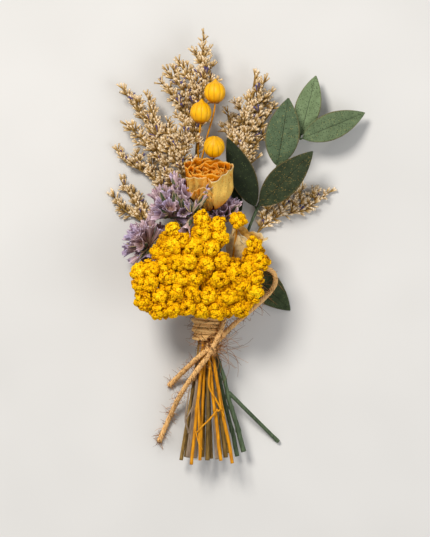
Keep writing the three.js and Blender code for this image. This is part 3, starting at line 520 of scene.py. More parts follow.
def statice_material():
    """A papery funnel: pinkish tan throat, dusty mauve rim. Its folds, its lining and the bottom of its
    throat are darker: painted shade, which along the pleats also stands for the funnel's darker veins.
    """
    n = Nodes("statice_mauve", 0.85, specular=0.12)
    along = n.attribute("along")
    light = n.ramp(along, stops((0, "6a5636"), (0.25, "aa7e64"), (0.6, "dcb2ae"), (1, "f6dcde")))
    lilac = n.ramp(along, stops((0, "6a5636"), (0.25, "9a7a6c"), (0.6, "baa2c0"), (1, "d8ccec")))
    light = n.mix(n.between(n.noise(0.09, 1), 0.44, 0.58), light, lilac)
    # Low tone and low along take this darker ramp: painted shade in the folds, the lining and the throat.
    shade_deep = n.ramp(along, stops((0, "1a1208"), (0.3, "482e22"), (0.6, "5c4042"), (1, "806074")))
    body = n.mix(n.attribute("tone"), shade_deep, light)
    n.colour(n.over(body, n.between(n.noise(0.35, 3), 0.5, 0.7), 0.5, "9d8377"))
    n.bump(n.noise(1.5, 4), 0.2)
    return n.material


def bract_material():
    n = Nodes("statice_bract", 0.8, specular=0.15)
    pale = n.between(n.attribute("tone"), 0.55, 0.9)
    green = n.ramp(n.noise(0.6, 3), stops((0.35, "2f3a24"), (0.7, "6d7856")))
    n.colour(n.mix(pale, green, rgb("bda684")))
    return n.material


def pod_material():
    """A satin golden seed pod, more orange towards its base, with its rib grooves painted dark as shade and
    bright patches that are partly painted highlight.
    """
    n = Nodes("pod_gold", 0.45, specular=0.25)
    along = n.attribute("along")
    body = n.ramp(along, stops((0, "a86000"), (0.2, "da9400"), (0.55, "f2b200"), (1, "dea000")))
    # Bright yellow patches: partly the pod's own mottling, partly a painted highlight.
    mottle = n.noise(0.35, 4)
    body = n.over(body, n.between(mottle, 0.5, 0.75), 0.35, "ffd010")
    # The rib grooves are mixed towards dark brown: painted shade.
    groove_shade = n.math("MULTIPLY", n.attribute("tone"), n.between(n.noise(0.5, 2), 0.15, 0.5))
    n.colour(n.mix(groove_shade, body, rgb("5e3200")))
    n.bump(n.noise(1.2, 4), 0.12)
    return n.material


def jute_material(name, dark, body_colour, light):
    """Twisted jute: tan fibres that run along each ply, some darker, some pale, and painted shade where the
    plies meet.
    """
    n = Nodes(name, 0.9, specular=0.05)
    streaks = n.noise(3.2, 4, roughness=0.7)
    body = n.ramp(streaks, stops((0.25, dark), (0.5, body_colour), (0.75, light)))
    patches = n.noise(0.12, 2)
    body = n.over(body, n.between(patches, 0.45, 0.7), 0.4, body_colour)
    # Darker where a ply faces its neighbours: painted shade between the plies.
    groove_shade = n.between(n.attribute("tone"), 0.48, 0.1)
    n.colour(n.over(body, groove_shade, 0.6, "6c421a"))
    n.bump(streaks, 0.35)
    return n.material


def fibre_material():
    n = Nodes("jute_fibre", 0.85, specular=0.15)
    n.colour(n.ramp(n.attribute("tone"), stops((0, "5e3a18"), (0.5, "96643a"), (1, "cf9a5c"))))
    return n.material


def cut_material():
    """The pale pith of a cut stem."""
    n = Nodes("cut_end", 0.85)
    n.colour(n.ramp(n.noise(2.5, 3), stops((0.3, "6d5a38"), (0.7, "c2ab7c"))))
    return n.material


def floor_material():
    n = Nodes("floor", 0.9, specular=0.1)
    n.colour(n.ramp(n.noise(0.01, 2), stops((0.3, "cbc9c5"), (0.7, "d2d0cc"))))
    return n.material


# ---- camera, floor and light -------------------------------------------------------------------

VIEW_CENTRE = (-11.0, -10.75, 15.0)
VIEW_HEIGHT = 268.5
VIEW_DISTANCE = 2000.0
SENSOR = 36.0
FLOOR_WIDTH = 60.0
# Name, place and width in metres, power in watts, and colour.
LIGHTS = [
    ("key", (-0.5, 0.75, 1.2), 0.5, 21, (1, 0.97, 0.93)),
    ("fill", (0.9, -0.4, 1.0), 1.0, 7, (0.95, 0.97, 1)),
]


def add_camera():
    """The bunch is seen square on, from straight above."""
    data = bpy.data.cameras.new("camera")
    data.sensor_width = SENSOR
    data.sensor_fit = "AUTO"
    data.lens = SENSOR * VIEW_DISTANCE / VIEW_HEIGHT
    data.clip_start = 0.02
    data.clip_end = 50
    camera = bpy.data.objects.new("camera", data)
    camera.location = (VIEW_CENTRE[0] * MM, VIEW_CENTRE[1] * MM, (VIEW_CENTRE[2] + VIEW_DISTANCE) * MM)
    bpy.context.scene.collection.objects.link(camera)
    bpy.context.scene.camera = camera


def add_light(name, place, size, watts, colour):
    data = bpy.data.lights.new(name, "AREA")
    data.shape = "DISK"
    data.size = size
    data.energy = watts
    data.color = colour
    light = bpy.data.objects.new(name, data)
    turn = basis(point(*place), point(0, 1, 0))
    light.matrix_world = Matrix.Translation(place) @ Matrix(turn.tolist()).to_4x4()
    bpy.context.scene.collection.objects.link(light)


def add_floor():
    half = FLOOR_WIDTH / 2
    corners = [(-half, -half, 0), (half, -half, 0), (half, half, 0), (-half, half, 0)]
    mesh = bpy.data.meshes.new("floor")
    mesh.from_pydata(corners, [], [(0, 1, 2, 3)])
    mesh.materials.append(floor_material())
    floor = bpy.data.objects.new("floor", mesh)
    bpy.context.scene.collection.objects.link(floor)


def add_studio():
    world = bpy.data.worlds.new("studio")
    world.use_nodes = True
    background = world.node_tree.nodes["Background"]
    background.inputs["Color"].default_value = (0.86, 0.87, 0.9, 1)
    background.inputs["Strength"].default_value = 0.45
    bpy.context.scene.world = world
    for light in LIGHTS:
        add_light(*light)
    bpy.context.scene.view_settings.view_transform = "Standard"


add_camera()
add_floor()
add_studio()

# ---- the tie, where every stem passes ----------------------------------------------------------

TIE_X, TIE_Z = -15.0, 14.0
TIE_TOP_Y, TIE_BOTTOM_Y = -34.5, -47.0
STEM_RADIUS_AT_TIE = 0.8
STEM_PITCH = 1.9
ROW_PITCH = STEM_PITCH * math.sin(math.pi / 3)
SPREAD_AT_TIE_TOP = 1.1
CUT_LENGTH = 59.0
CLEARANCE = 0.3


def spread_at(y):
    """How much wider than at the foot of the tie the stems stand at this height."""
    return 1 + (SPREAD_AT_TIE_TOP - 1) * (y - TIE_BOTTOM_Y) / (TIE_TOP_Y - TIE_BOTTOM_Y)


def stem_route(column, row, foot, cut, above):
    """From the cut end through the stem's place in the tie and on to its flower."""
    route = [(foot[0], TIE_BOTTOM_Y - CUT_LENGTH + cut, foot[1])]
    for y in (TIE_BOTTOM_Y, (TIE_BOTTOM_Y + TIE_TOP_Y) / 2, TIE_TOP_Y):
        spread = spread_at(y)
        route.append((TIE_X + column * STEM_PITCH * spread, y, TIE_Z + row * ROW_PITCH * spread))
    return [*route, *above]


# ---- jute twine --------------------------------------------------------------------------------

TWINE_DIAMETER = 2.5
WOUND_TWINE_DIAMETER = 1.6
WRAP_TURNS = 6.5
TWINE_LOOP = [
    (-9.2, -46.6, 20), (-5.4, -42.4, 18.8), (-1, -38.2, 17), (4, -34, 14.4), (9, -29.8, 11.4),
    (13.6, -25.6, 8.6), (17.2, -21.8, 7.2), (19.4, -17.4, 7), (18.4, -13, 7), (14.4, -10.6, 7.2),
    (9.8, -11.8, 8), (5.8, -15.6, 9.2), (2, -20.4, 10.6), (-1.6, -25.6, 12.6), (-4.6, -31, 15),
    (-6.6, -36.6, 17.6), (-8.4, -42.4, 20.6), (-10.4, -46.6, 23.2),
]
TWINE_SHORT_TAIL = [
    (-16.4, -52.4, 21.4), (-18.2, -54, 20.6), (-20.2, -55.8, 18.8), (-22.2, -57.8, 16), (-24.2, -59.8, 12.6),
    (-26.2, -61.8, 9.2), (-28.2, -63.8, 6.2), (-30.2, -65.8, 3.8), (-32.2, -67.8, 2.2), (-34.2, -69.8, 1.5),
]
TWINE_LONG_TAIL = [
    (-14.6, -54.8, 21.6), (-16.6, -57.2, 21.4), (-18.8, -60, 20.6), (-21, -63, 19), (-23.2, -66.2, 16.8),
    (-25.4, -69.4, 14), (-27.4, -72.8, 11), (-29.4, -76.2, 8), (-31.2, -79.8, 5.4), (-32.8, -83.4, 3.4),
    (-34.4, -87, 2.1), (-36, -90.6, 1.5), (-37.6, -94.2, 1.4), (-39.2, -97.8, 1.4),
]
KNOT = point(-12.6, -50.6, 20.3)
# Where each end of the knot starts and bends, from the knot's middle, and the two points it runs on to.
KNOT_LINKS = [
    ((-1.2, -0.8, -0.2), (1.4, 1.6, 0.2), TWINE_LOOP[:2]),
    ((-0.4, -1.4, 1.4), (1.0, 1.4, 2.4), TWINE_LOOP[:-3:-1]),
    ((1.6, 1.0, 0.4), (-1.4, -0.6, 1.2), TWINE_SHORT_TAIL[:2]),
    ((1.4, 0.2, 1.4), (-0.6, -1.8, 1.7), TWINE_LONG_TAIL[:2]),
]
PLIES = 3
# How far a ply's middle is from the twine's, and the ply's radius, as shares of the twine's diameter.
PLY_OFFSET, PLY_RADIUS = 0.26, 0.235
OPEN_LENGTH = 2.5
# How far the free twine runs for one turn of its plies, how much fuller than its diameter the yarn looks,
# and how far its cut ends open.
TWINE_LAY, YARN_FULLNESS, END_FLARE = 5.2, 1.08, 0.25
FIBRE_RADIUS, FIBRE_STEPS = 0.15, 7
# The tuft at a cut end: how many fibres, how long and how thick.
TUFT_FIBRES, TUFT_REACH, TUFT_RADIUS = 60, 3.6, 0.1

JUTE = jute_material("jute", "b88444", "efbc78", "ffe4b0")
# The wound turns get a paler copy of the jute to make up for the shade that the yarrow heads cast on them:
# painted light.
WRAP_JUTE_PAINTED_LIGHT = jute_material("jute_wound_painted_light", "d09a54", "ffce84", "ffeab4")
FIBRE = fibre_material()


def plied(shape, path, diameter, pitch, seed, flare=0.0):
    """Three plies twisted round each other. flare opens them a little at the far end.
    A ply's tone is 0 where it faces its neighbours and 1 where it faces out; the jute paints the low tone
    darker as shade between the plies."""
    rng = np.random.default_rng(seed)
    line = evenly(path, pitch / 14)
    side, up = transported(line)
    travelled = lengths_along(line)
    open_end = np.clip((travelled - travelled[-1] + OPEN_LENGTH) / OPEN_LENGTH, 0, 1)
    reach = diameter * PLY_OFFSET * (1 + flare * open_end)
    sides = 10
    around = np.arange(sides) * 2 * np.pi / sides
    turned = around[None, :, None]
    lumps = np.arange(0, travelled[-1] + 3, 1.5)
    for ply in range(PLIES):
        angle = 2 * np.pi * (travelled / pitch + ply / PLIES)
        outward = side * np.cos(angle)[:, None] + up * np.sin(angle)[:, None]
        centre = line + outward * reach[:, None]
        across = np.cross(tangents_of(centre), outward)
        swell = 1 + 0.1 * np.interp(travelled, lumps, rng.normal(size=len(lumps)))
        uneven = 1 + 0.1 * np.sin(around * 3 + rng.uniform(0, 6))
        radius = diameter * PLY_RADIUS * swell[:, None] * uneven[None]
        ring = outward[:, None] * np.cos(turned) + across[:, None] * np.sin(turned)
        grid = centre[:, None] + ring * radius[..., None]
        shape.rings(grid, tone=(0.5 + 0.5 * np.cos(around))[None], caps=(0.2, 0.2))


def fuzz_along(shape, line, count, reach, seed, outward=None, radius=FIBRE_RADIUS):
    """Loose fibres that spring out of the twine and curl."""
    rng = np.random.default_rng(seed)
    tangents = tangents_of(line)
    for _ in range(count):
        at = rng.integers(0, len(line))
        direction = rng.normal(size=3)
        direction -= tangents[at] * np.dot(direction, tangents[at]) * 0.6
        if outward is not None:
            direction += outward * rng.uniform(0.2, 1.4)
        direction = unit(direction)
        length = reach * rng.uniform(0.25, 1.0) ** 1.4
        curl_axis = unit(rng.normal(size=3))
        curl = rng.normal(0, 2.2)
        points = [line[at]]
        for _ in range(FIBRE_STEPS):
            direction = rotated(direction, curl_axis, curl / FIBRE_STEPS)
            points.append(points[-1] + direction * length / FIBRE_STEPS)
        path = np.array(points)
        path[:, 2] = np.maximum(path[:, 2], FLOOR_GAP + radius)
        thin = radius * np.linspace(1, 0.45, FIBRE_STEPS + 1)
        shape.tube(path, thin, 3, tone=rng.uniform(), round_end=0)


def add_free_twine(name, points, far_end, seed, hairs, hair_reach):
    """A run of free twine, with its fuzz and, at a cut end, a tuft."""
    line = evenly(smooth_curve(points, 24), 0.4)
    shape = Shape()
    flare = 0.0 if far_end == "object" else END_FLARE
    plied(shape, line, TWINE_DIAMETER * YARN_FULLNESS, TWINE_LAY, seed, flare)
    twine = stand_in(shape, name + "_yarn", [JUTE], "jute_twine", name)
    hair = Shape()
    fuzz_along(hair, line, hairs, hair_reach, seed + 1)
    if far_end == "bare":
        end = evenly(line[-8:], 0.3)
        outward = tangents_of(line)[-1] * 1.6
        fuzz_along(hair, end, TUFT_FIBRES, TUFT_REACH, seed + 2, outward, TUFT_RADIUS)
    fuzz = stand_in(hair, name + "_fuzz", [FIBRE], "jute_twine")


def wrap_route(turns, stand_off=0.0, phase=math.pi / 2):
    """Turns of twine up the tie. stand_off lifts them off the stems, and phase is where they start."""
    radius = WOUND_TWINE_DIAMETER / 2
    steps = int(turns * 40)
    share = np.linspace(0, 1, steps + 1)
    y = TIE_BOTTOM_Y + radius + (TIE_TOP_Y - TIE_BOTTOM_Y - 2 * radius) * share
    wander = 0.16 * np.sin(share * 37) + 0.12 * np.sin(share * 61 + 1)
    reach = 2 * STEM_PITCH * (1 + (SPREAD_AT_TIE_TOP - 1) * share) + STEM_RADIUS_AT_TIE + CLEARANCE + radius
    reach = reach + 0.12 + stand_off
    angle = 2 * np.pi * turns * share + phase
    return np.stack([TIE_X + reach * np.cos(angle), y + wander, TIE_Z + reach * np.sin(angle)], axis=1)


def add_wrap():
    """Tight turns of twine round the stems, some of them riding over the others."""
    shape = Shape()
    plied(shape, wrap_route(WRAP_TURNS), diameter=1.72, pitch=3.4, seed=11)
    plied(shape, wrap_route(turns=2.4, stand_off=0.95, phase=2.2), diameter=1.6, pitch=3.2, seed=12)
    stand_in(shape, "twine_wrap_yarn", [WRAP_JUTE_PAINTED_LIGHT], "jute_twine", "twine_wrap")
    hair = Shape()
    fuzz_along(hair, wrap_route(WRAP_TURNS), 260, 9, 13)
    stand_in(hair, "twine_wrap_fuzz", [FIBRE], "jute_twine")


def add_knot():
    """An overhand knot whose ends run into the loop and the two tails."""
    t = np.linspace(0, 2 * np.pi, 90)
    trefoil = np.stack([
        (np.sin(t) + 2 * np.sin(2 * t)) * 0.9,
        (np.cos(t) - 2 * np.cos(2 * t)) * 0.9,
        -np.sin(3 * t) * 0.85,
    ], axis=1)
    shape = Shape()
    plied(shape, trefoil[4:-4] + KNOT, diameter=2.2, pitch=3.8, seed=21)
    for index, (start, bend, cord) in enumerate(KNOT_LINKS):
        route = smooth_curve([KNOT + start, KNOT + bend, *cord], 16)[:-16]
        plied(shape, route, diameter=2.3, pitch=4.6, seed=30 + index)
    stand_in(shape, "twine_knot_yarn", [JUTE], "jute_twine", "twine_knot")
    hair = Shape()
    fuzz_along(hair, trefoil + KNOT, 70, 24, 41, outward=point(1.3, 0.1, -0.1))
    fuzz_along(hair, trefoil + KNOT, 90, 12, 42)
    fuzz_along(hair, trefoil + KNOT, 30, 17, 43, outward=point(-1.2, 0.6, -0.4))
    stand_in(hair, "twine_knot_fuzz", [FIBRE], "jute_twine")


add_free_twine("twine_loop", TWINE_LOOP, "object", 51, 240, 9)
add_free_twine("twine_short_tail", TWINE_SHORT_TAIL, "bare", 61, 100, 6)
add_free_twine("twine_long_tail", TWINE_LONG_TAIL, "bare", 71, 240, 7)
add_wrap()
add_knot()

# ---- stems -------------------------------------------------------------------------------------

CUT_END = cut_material()
DYED_STEM = stem_material("dyed_stem", "a26200", "eba205", 0.55)
OLIVE_STEM = stem_material("olive_stem", "4f3c18", "94763a", 0.7)
GREY_STEM = stem_material("grey_stem", "6e5c4a", "a8937c", 0.75)
GREEN_STEM = stem_material("green_stem", "2c3826", "5f7050", 0.6)
TAN_STEM = stem_material("tan_stem", "5b4520", "a98748", 0.7)
STEM_SIDES = 14
NODE_SWELLING, NODE_WIDTH = 0.28, 0.8


def add_stem_skin(
    shape, route, foot_radius, top_radius, seed, slot=0, ridges=7, ridge_depth=0.07, nodes=(), bend=0.12,
    cut_slot=1,
):
    """A stem with lengthwise ridges, slight swellings at its nodes and a clean cut end."""
    rng = np.random.default_rng(seed)
    line = evenly(smooth_curve(route, 16), 1.0)
    share = np.linspace(0, 1, len(line))
    spots = np.linspace(0, 1, 14)
    wander = np.stack([np.interp(share, spots, rng.normal(0, bend, 14)) for _ in range(3)], axis=1)
    line = line + wander * np.minimum(1, np.minimum(share, 1 - share) * 12)[:, None]
    tie_share = np.clip((line[:, 1] - line[0, 1]) / (TIE_BOTTOM_Y - line[0, 1]), 0, 1)
    radius = foot_radius + (STEM_RADIUS_AT_TIE - foot_radius) * tie_share
    above = np.clip((line[:, 1] - TIE_TOP_Y) / max(line[-1, 1] - TIE_TOP_Y, 1), 0, 1)
    radius = radius + (top_radius - STEM_RADIUS_AT_TIE) * above
    for y in nodes:
        radius = radius * (1 + NODE_SWELLING * np.exp(-(((line[:, 1] - y) / NODE_WIDTH) ** 2)))
    around = np.arange(STEM_SIDES) * 2 * np.pi / STEM_SIDES
    ridge = 1 + ridge_depth * np.cos(ridges * around + rng.uniform(0, 6))
    shape.tube(line, radius[:, None] * ridge[None], STEM_SIDES, tone=rng.uniform(), slot=slot, round_end=0.1)
    inward = unit(line[1] - line[0])
    end = line[0] + inward * -0.04
    disc = np.stack([end, end + inward * 0.12])
    shape.tube(disc, np.array([radius[0] * 0.86] * 2), 12, slot=cut_slot, round_end=0)


def add_twig(shape, points, start, end, seed, slot=0):
    """A thin side twig with a small swelling where it leaves."""
    line = evenly(smooth_curve(points, 10), 0.6)
    radius = np.linspace(start, end, len(line))
    radius[:2] = radius[:2] * 1.35
    shape.tube(line, radius, 7, tone=(seed * 0.37) % 1, slot=slot)


YARROW_STEMS = {
    "left": (-1, 2, (-22.8, 18.5), -2.6, [(-20, -28, 20), (-28.5, -21, 22)]),
    "centre": (0, 2, (-8, 19.5), -0.6, [(-16, -24, 21), (-18.6, -13.5, 24)]),
    "right": (1, 2, (-2.4, 18.5), -2, [(-9.5, -27, 20), (-5, -19.6, 23.6)]),
}
# Side twigs that were left on the yarrow stems when their leaves were stripped off.
YARROW_TWIGS = {
    "left": [
        ([(-19.4, -76, 18.2), (-18.9, -90, 20.4), (-18.6, -105.4, 21)], 0.62, 0.6),
        ([(-20.6, -92, 19.4), (-18.6, -99, 21.6), (-17.2, -101, 21)], 0.35, 0.3),
    ],
    "centre": [
        ([(-13.6, -60, 20), (-13.9, -69.5, 20.8), (-10.6, -76, 21.4), (-7.8, -81, 21.4)], 0.5, 0.55),
        ([(-9.7, -81, 20.6), (-13.8, -86, 21.6), (-17.6, -89.6, 22), (-20, -92.4, 21.6)], 0.5, 0.4),
    ],
    "right": [
        ([(-9.2, -72, 19.2), (-7.8, -81, 20.6), (-6.6, -84.6, 20)], 0.5, 0.5),
        ([(-7.6, -80.6, 20.2), (-9.6, -82, 21)], 0.55, 0.3),
    ],
}
ROSE_STEMS = {
    "rose_1": (
        0.5, 1, (-14.8, 14.5), -0.6,
        [(-13.6, -20, 17.5), (-13.1, 0, 15.5), (-13.1, 12, 18.4), (-13.1, 17.4, 21.2)],
    ),
    "rose_2": (1.5, 1, (-5.6, 15), 0.8, [(-9.6, -25, 16.4), (-5.2, -15.6, 15), (-2.1, -9.9, 15.3)]),
}
STATICE_STEMS = {
    "statice_1": (
        -1.5, 1, (-24.6, 14.5), 0.8, [(-24.5, -24, 16.4), (-35, -9.5, 14.5), (-41.5, -1.6, 13)], 1.2,
    ),
    "statice_2": (-1, 0, (-21.4, 10.5), 0.4, [(-20.4, -20, 13), (-27.6, 2, 13.6), (-31.8, 12, 15)], 1.3),
    "statice_3": (1, 0, (-9.8, 10.4), -0.2, [(-10.6, -16, 13.6), (-9, -4, 12.4), (-7.4, 9.2, 15)], 1.1),
}
POD_STEM = (
    -0.5, 1, (-18.6, 15.5), -0.6, [(-17.2, -18, 15.6), (-18.6, 8, 14), (-19, 30, 13.5), (-19, 38, 14.6)],
)
PODS = [
    ((-11.1, 71.6, 25), (0.02, 1, 0.1), (-15.2, 54, 19.5)),
    ((-18.3, 61.6, 25), (0.06, 1, 0.15), (-19.4, 50, 19.5)),
    ((-11.6, 46, 22.4), (0.03, 0.72, 0.7), (-14.4, 43.4, 17.4)),
]
EUCALYPTUS_1 = (
    2, 0, (3.4, 8.5), 3.4, [(-5.4, -20, 9.4), (3, 0, 7.4), (10, 19, 9), (19.5, 38.6, 12), (30.6, 53.6, 11.6)],
)
EUCALYPTUS_2 = (1.5, -1, (0.2, 4.6), 1, [(-7, -22, 7.6), (-0.6, -7, 5.6), (0.8, 13.4, 4.6)])
SIDE_TWIG = [(-4.3, -73.2, 11.4), (-2.1, -74.9, 10.5), (3.7, -80.7, 9), (20.9, -97.9, 1.4)]
LEAF_SCARS = (-92, -80.5, -75, -66, -58, -24, -2, 20, 41)
# A dry forked twig that stands off the first statice stem.
DRY_TWIGS = [
    ([(-23.9, -93, 15), (-25.7, -87, 17.4), (-24.9, -78, 18), (-23.8, -70.7, 17.6)], 0.6, 0.4),
    ([(-25.5, -86, 17.6), (-23.6, -82.6, 18.8), (-22.1, -79.4, 19)], 0.4, 0.3),
]


def add_stem(name, node, material, slot, twigs, *skin, **finish):
    """One stem's piece: its skin, then its side twigs."""
    shape = Shape()
    add_stem_skin(shape, *skin, **finish)
    for twig in twigs:
        add_twig(shape, *twig)
    stand_in(shape, name, [material, CUT_END], slot, node)


def add_stems():
    for index, (name, stem) in enumerate(YARROW_STEMS.items()):
        twigs = [(*twig, number + index) for number, twig in enumerate(YARROW_TWIGS[name])]
        add_stem(
            f"yarrow_{name}_stalk", f"yarrow_stem_{name}", DYED_STEM, "dyed_stem", twigs,
            stem_route(*stem), 0.85, 0.8, 100 + index, nodes=(-81, -63),
        )
    for index, (name, stem) in enumerate(ROSE_STEMS.items()):
        add_stem(
            f"{name}_stalk", f"{name}_stem", OLIVE_STEM, "olive_stem", [],
            stem_route(*stem), 1.15, 0.8, 110 + index, ridge_depth=0.05, nodes=(-88, -66, -12),
        )
    for index, (name, stem) in enumerate(STATICE_STEMS.items()):
        twigs = [(*twig, index) for twig in DRY_TWIGS] if name == "statice_1" else []
        add_stem(
            f"{name}_stalk", f"{name}_stem", GREY_STEM, "grey_stem", twigs,
            stem_route(*stem[:5]), stem[5], 0.7, 120 + index, ridges=4, ridge_depth=0.16, nodes=(-70,),
        )
    twigs = []
    for index, (base, towards, bend) in enumerate(PODS):
        direction = unit(point(*towards))
        route = [POD_STEM[4][-1], bend, point(*base) - direction * 2.6, point(*base) + direction * 0.2]
        twigs.append((route, 0.5, 0.42, index))
    add_stem(
        "pod_stalks", "pod_stem", DYED_STEM, "dyed_stem", twigs,
        stem_route(*POD_STEM), 0.85, 0.55, 130, ridge_depth=0.04,
    )
    for index, (name, stem, foot) in enumerate((("1", EUCALYPTUS_1, 1.25), ("2", EUCALYPTUS_2, 1.1))):
        add_stem(
            f"eucalyptus_stalk_{name}", f"eucalyptus_stem_{name}", GREEN_STEM, "green_stem", [],
            stem_route(*stem), foot, 0.6, 140 + index, ridges=4, ridge_depth=0.08, nodes=LEAF_SCARS, bend=0.2,
        )
    shape = Shape()
    line = evenly(smooth_curve(SIDE_TWIG, 16), 0.8)
    share = np.linspace(0, 1, len(line))
    radius = 1.0 - 0.05 * share + 0.35 * np.exp(-((share / 0.05) ** 2))
    radius = radius + 0.12 * np.exp(-(((share - 0.96) / 0.04) ** 2))
    shape.tube(line, radius, 12, tone=0.6, round_end=0.15)
    end = line[-1] + unit(line[-1] - line[-2]) * np.array([[0.02], [0.1]])
    shape.tube(end, np.array([0.8, 0.78]), 12, slot=1, round_end=0)
    stand_in(shape, "eucalyptus_side_shoot", [GREEN_STEM, CUT_END], "green_stem", "eucalyptus_side_twig")


add_stems()

# ---- eucalyptus leaves -------------------------------------------------------------------------

LEAF_THICKNESS = 0.6
LEAF_ROWS, LEAF_COLUMNS = 64, 25
# How steeply a leaf folds up from its midrib, and how far its edge waves.
LEAF_FOLD, LEAF_WAVE = 0.09, 0.25
# Base, tip, width, arch, the leaf's own colours (light, dark, specks) and how few specks it has.
LEAVES = [
    ((31.8, 56, 11), (39.7, 86, 7), 12.8, 1.5, "7a8d66", "62734f", "93a07a", 0.52),
    ((32.8, 54.4, 14), (64.2, 67.4, 7), 13.6, 1.8, "6b7c59", "536244", "a39a5c", 0.53),
    ((20.2, 40.6, 14.6), (25.7, 74.4, 17), 17, 2, "5d6f50", "46563d", "ab9a52", 0.5),
    ((11.6, 21, 12.6), (37.8, 47.6, 21), 15.6, 2, "3a442c", "262e1b", "a08442", 0.47),
    ((9, 20.6, 11.6), (-4.8, 54.4, 16), 13, 1.5, "27311c", "1a2212", "5f6d3f", 0.55),
    ((0.4, 15.6, 5), (-3, 31, 5), 8, 0.8, "2c3a22", "1b2614", "43552f", 0.6),
    ((2.6, -8.6, 4.6), (26.8, -31.8, 0.8), 15.6, 1, "4b5738", "343f26", "7d8a55", 0.52),
]


def leaf_grid(base, tip, width, arch, seed):
    """The middle surface of a leaf, with how far each point is from the midrib."""
    start, end = point(*base), point(*tip)
    run = end - start
    side = unit(np.cross(run, UP))
    face = np.cross(side, unit(run))
    along = np.linspace(0, 1, LEAF_ROWS)[:, None]
    half = np.maximum(np.sin(np.pi * along**0.86) ** 0.8, 0.04) * width / 2
    across = np.linspace(-1, 1, LEAF_COLUMNS)[None]
    offset = across * half
    rng = np.random.default_rng(seed)
    phases = rng.uniform(0, 6, 4)
    lift = arch * np.sin(np.pi * along) + LEAF_FOLD * np.abs(offset) - 0.22 * np.exp(-((offset / 0.35) ** 2))
    edge_wave = np.sin(along * 9 + phases[0] + np.sign(across) * phases[1])
    lift = lift + LEAF_WAVE * np.abs(across) ** 2 * edge_wave
    veins = np.sin((along * 26 - np.abs(across) * 3.2) * np.pi)
    lift = lift + 0.045 * veins * (1 - np.exp(-((offset / 0.8) ** 2)))
    spots = start + along[..., None] * run + side * offset[..., None] + face * lift[..., None]
    return spots, np.broadcast_to(np.abs(across), (LEAF_ROWS, LEAF_COLUMNS))


def add_leaves():
    for index, (base, tip, width, arch, light, dark, speck, few) in enumerate(LEAVES):
        shape = Shape()
        grid, across = leaf_grid(base, tip, width, arch, 200 + index)
        thin = LEAF_THICKNESS * (1 - 0.55 * across)
        shape.sheet(grid, thin * 0.8, tone=across)
        start = point(*base)
        run = unit(point(*tip) - start)
        stalk = np.array([start - run * 1.6, start - run * 0.4, start + run * 1.2])
        shape.tube(stalk, np.array([0.4, 0.45, 0.35]), 8, tone=0.3)
        material = leaf_material(f"leaf_{index + 1}", light, dark, speck, few)
        stand_in(shape, f"leaf_{index + 1}", [material], "eucalyptus_leaf", f"eucalyptus_leaf_{index + 1}")


add_leaves()

# ---- seed pods ---------------------------------------------------------------------------------

POD_RADIUS, POD_HEIGHT, POD_BEAK = 5.3, 10.6, 1.6
POD_RIBS = 10
# One dry tip of the cup: how far out and how high each of its points is.
POD_TIP = [(0.4, 0.1), (1.6, -0.1), (2.5, 0.5), (3.0, 1.3)]
POD_GOLD = pod_material()


def add_pods():
    """Each pod is a puffed, ribbed ball with a beak, and the dry tips of its old cup at the base."""
    for index, (base, towards, _) in enumerate(PODS):
        rng = np.random.default_rng(300 + index)
        turn = turned_from_y(point(*towards))
        shape = Shape()
        rings, sides = 44, 120
        angle = np.linspace(0, 2 * np.pi, sides, endpoint=False)[None]
        polar = np.linspace(0.02, np.pi, rings)[:, None]
        puff = np.abs(np.cos(POD_RIBS * angle / 2 + rng.uniform(0, 3)))
        # The rib grooves get a high tone, which the material paints dark: painted shade.
        groove_shade = np.clip(1 - puff / 0.2, 0, 1) * np.ones_like(polar)
        radius = POD_RADIUS * np.sin(polar) ** 0.86 * (1 + 0.085 * (puff**0.45 - 1))
        radius = radius * (1 + 0.02 * np.sin(angle * 3 + index) * np.sin(polar))
        height = POD_HEIGHT * (1 - np.cos(polar)) / 2
        beak = np.clip((polar - np.pi * 0.9) / (np.pi * 0.1), 0, 1)
        height = height + POD_BEAK * beak**1.6 + 0 * angle
        radius = np.maximum(radius, 0.16 * (polar > 2))
        local = np.stack([radius * np.sin(angle), height, radius * np.cos(angle)], axis=-1)
        tone = groove_shade * np.sin(polar) ** 0.4
        shape.rings(local @ turn.T + point(*base), tone=tone, along=height / POD_HEIGHT)
        for tip in range(5):
            lean = 2 * np.pi * tip / 5 + rng.uniform(-0.2, 0.2)
            out = point(math.sin(lean), 0, math.cos(lean))
            line = evenly(smooth_curve([out * reach + (0, rise, 0) for reach, rise in POD_TIP], 5), 0.3)
            thin = np.linspace(0.3, 0.06, len(line))
            shape.tube(line @ turn.T + point(*base), thin, 6, tone=0.5, along=0.0)
        stand_in(shape, f"pod_{index + 1}", [POD_GOLD], "pod_skin", f"seed_pod_{index + 1}")


add_pods()

# ---- yarrow ------------------------------------------------------------------------------------

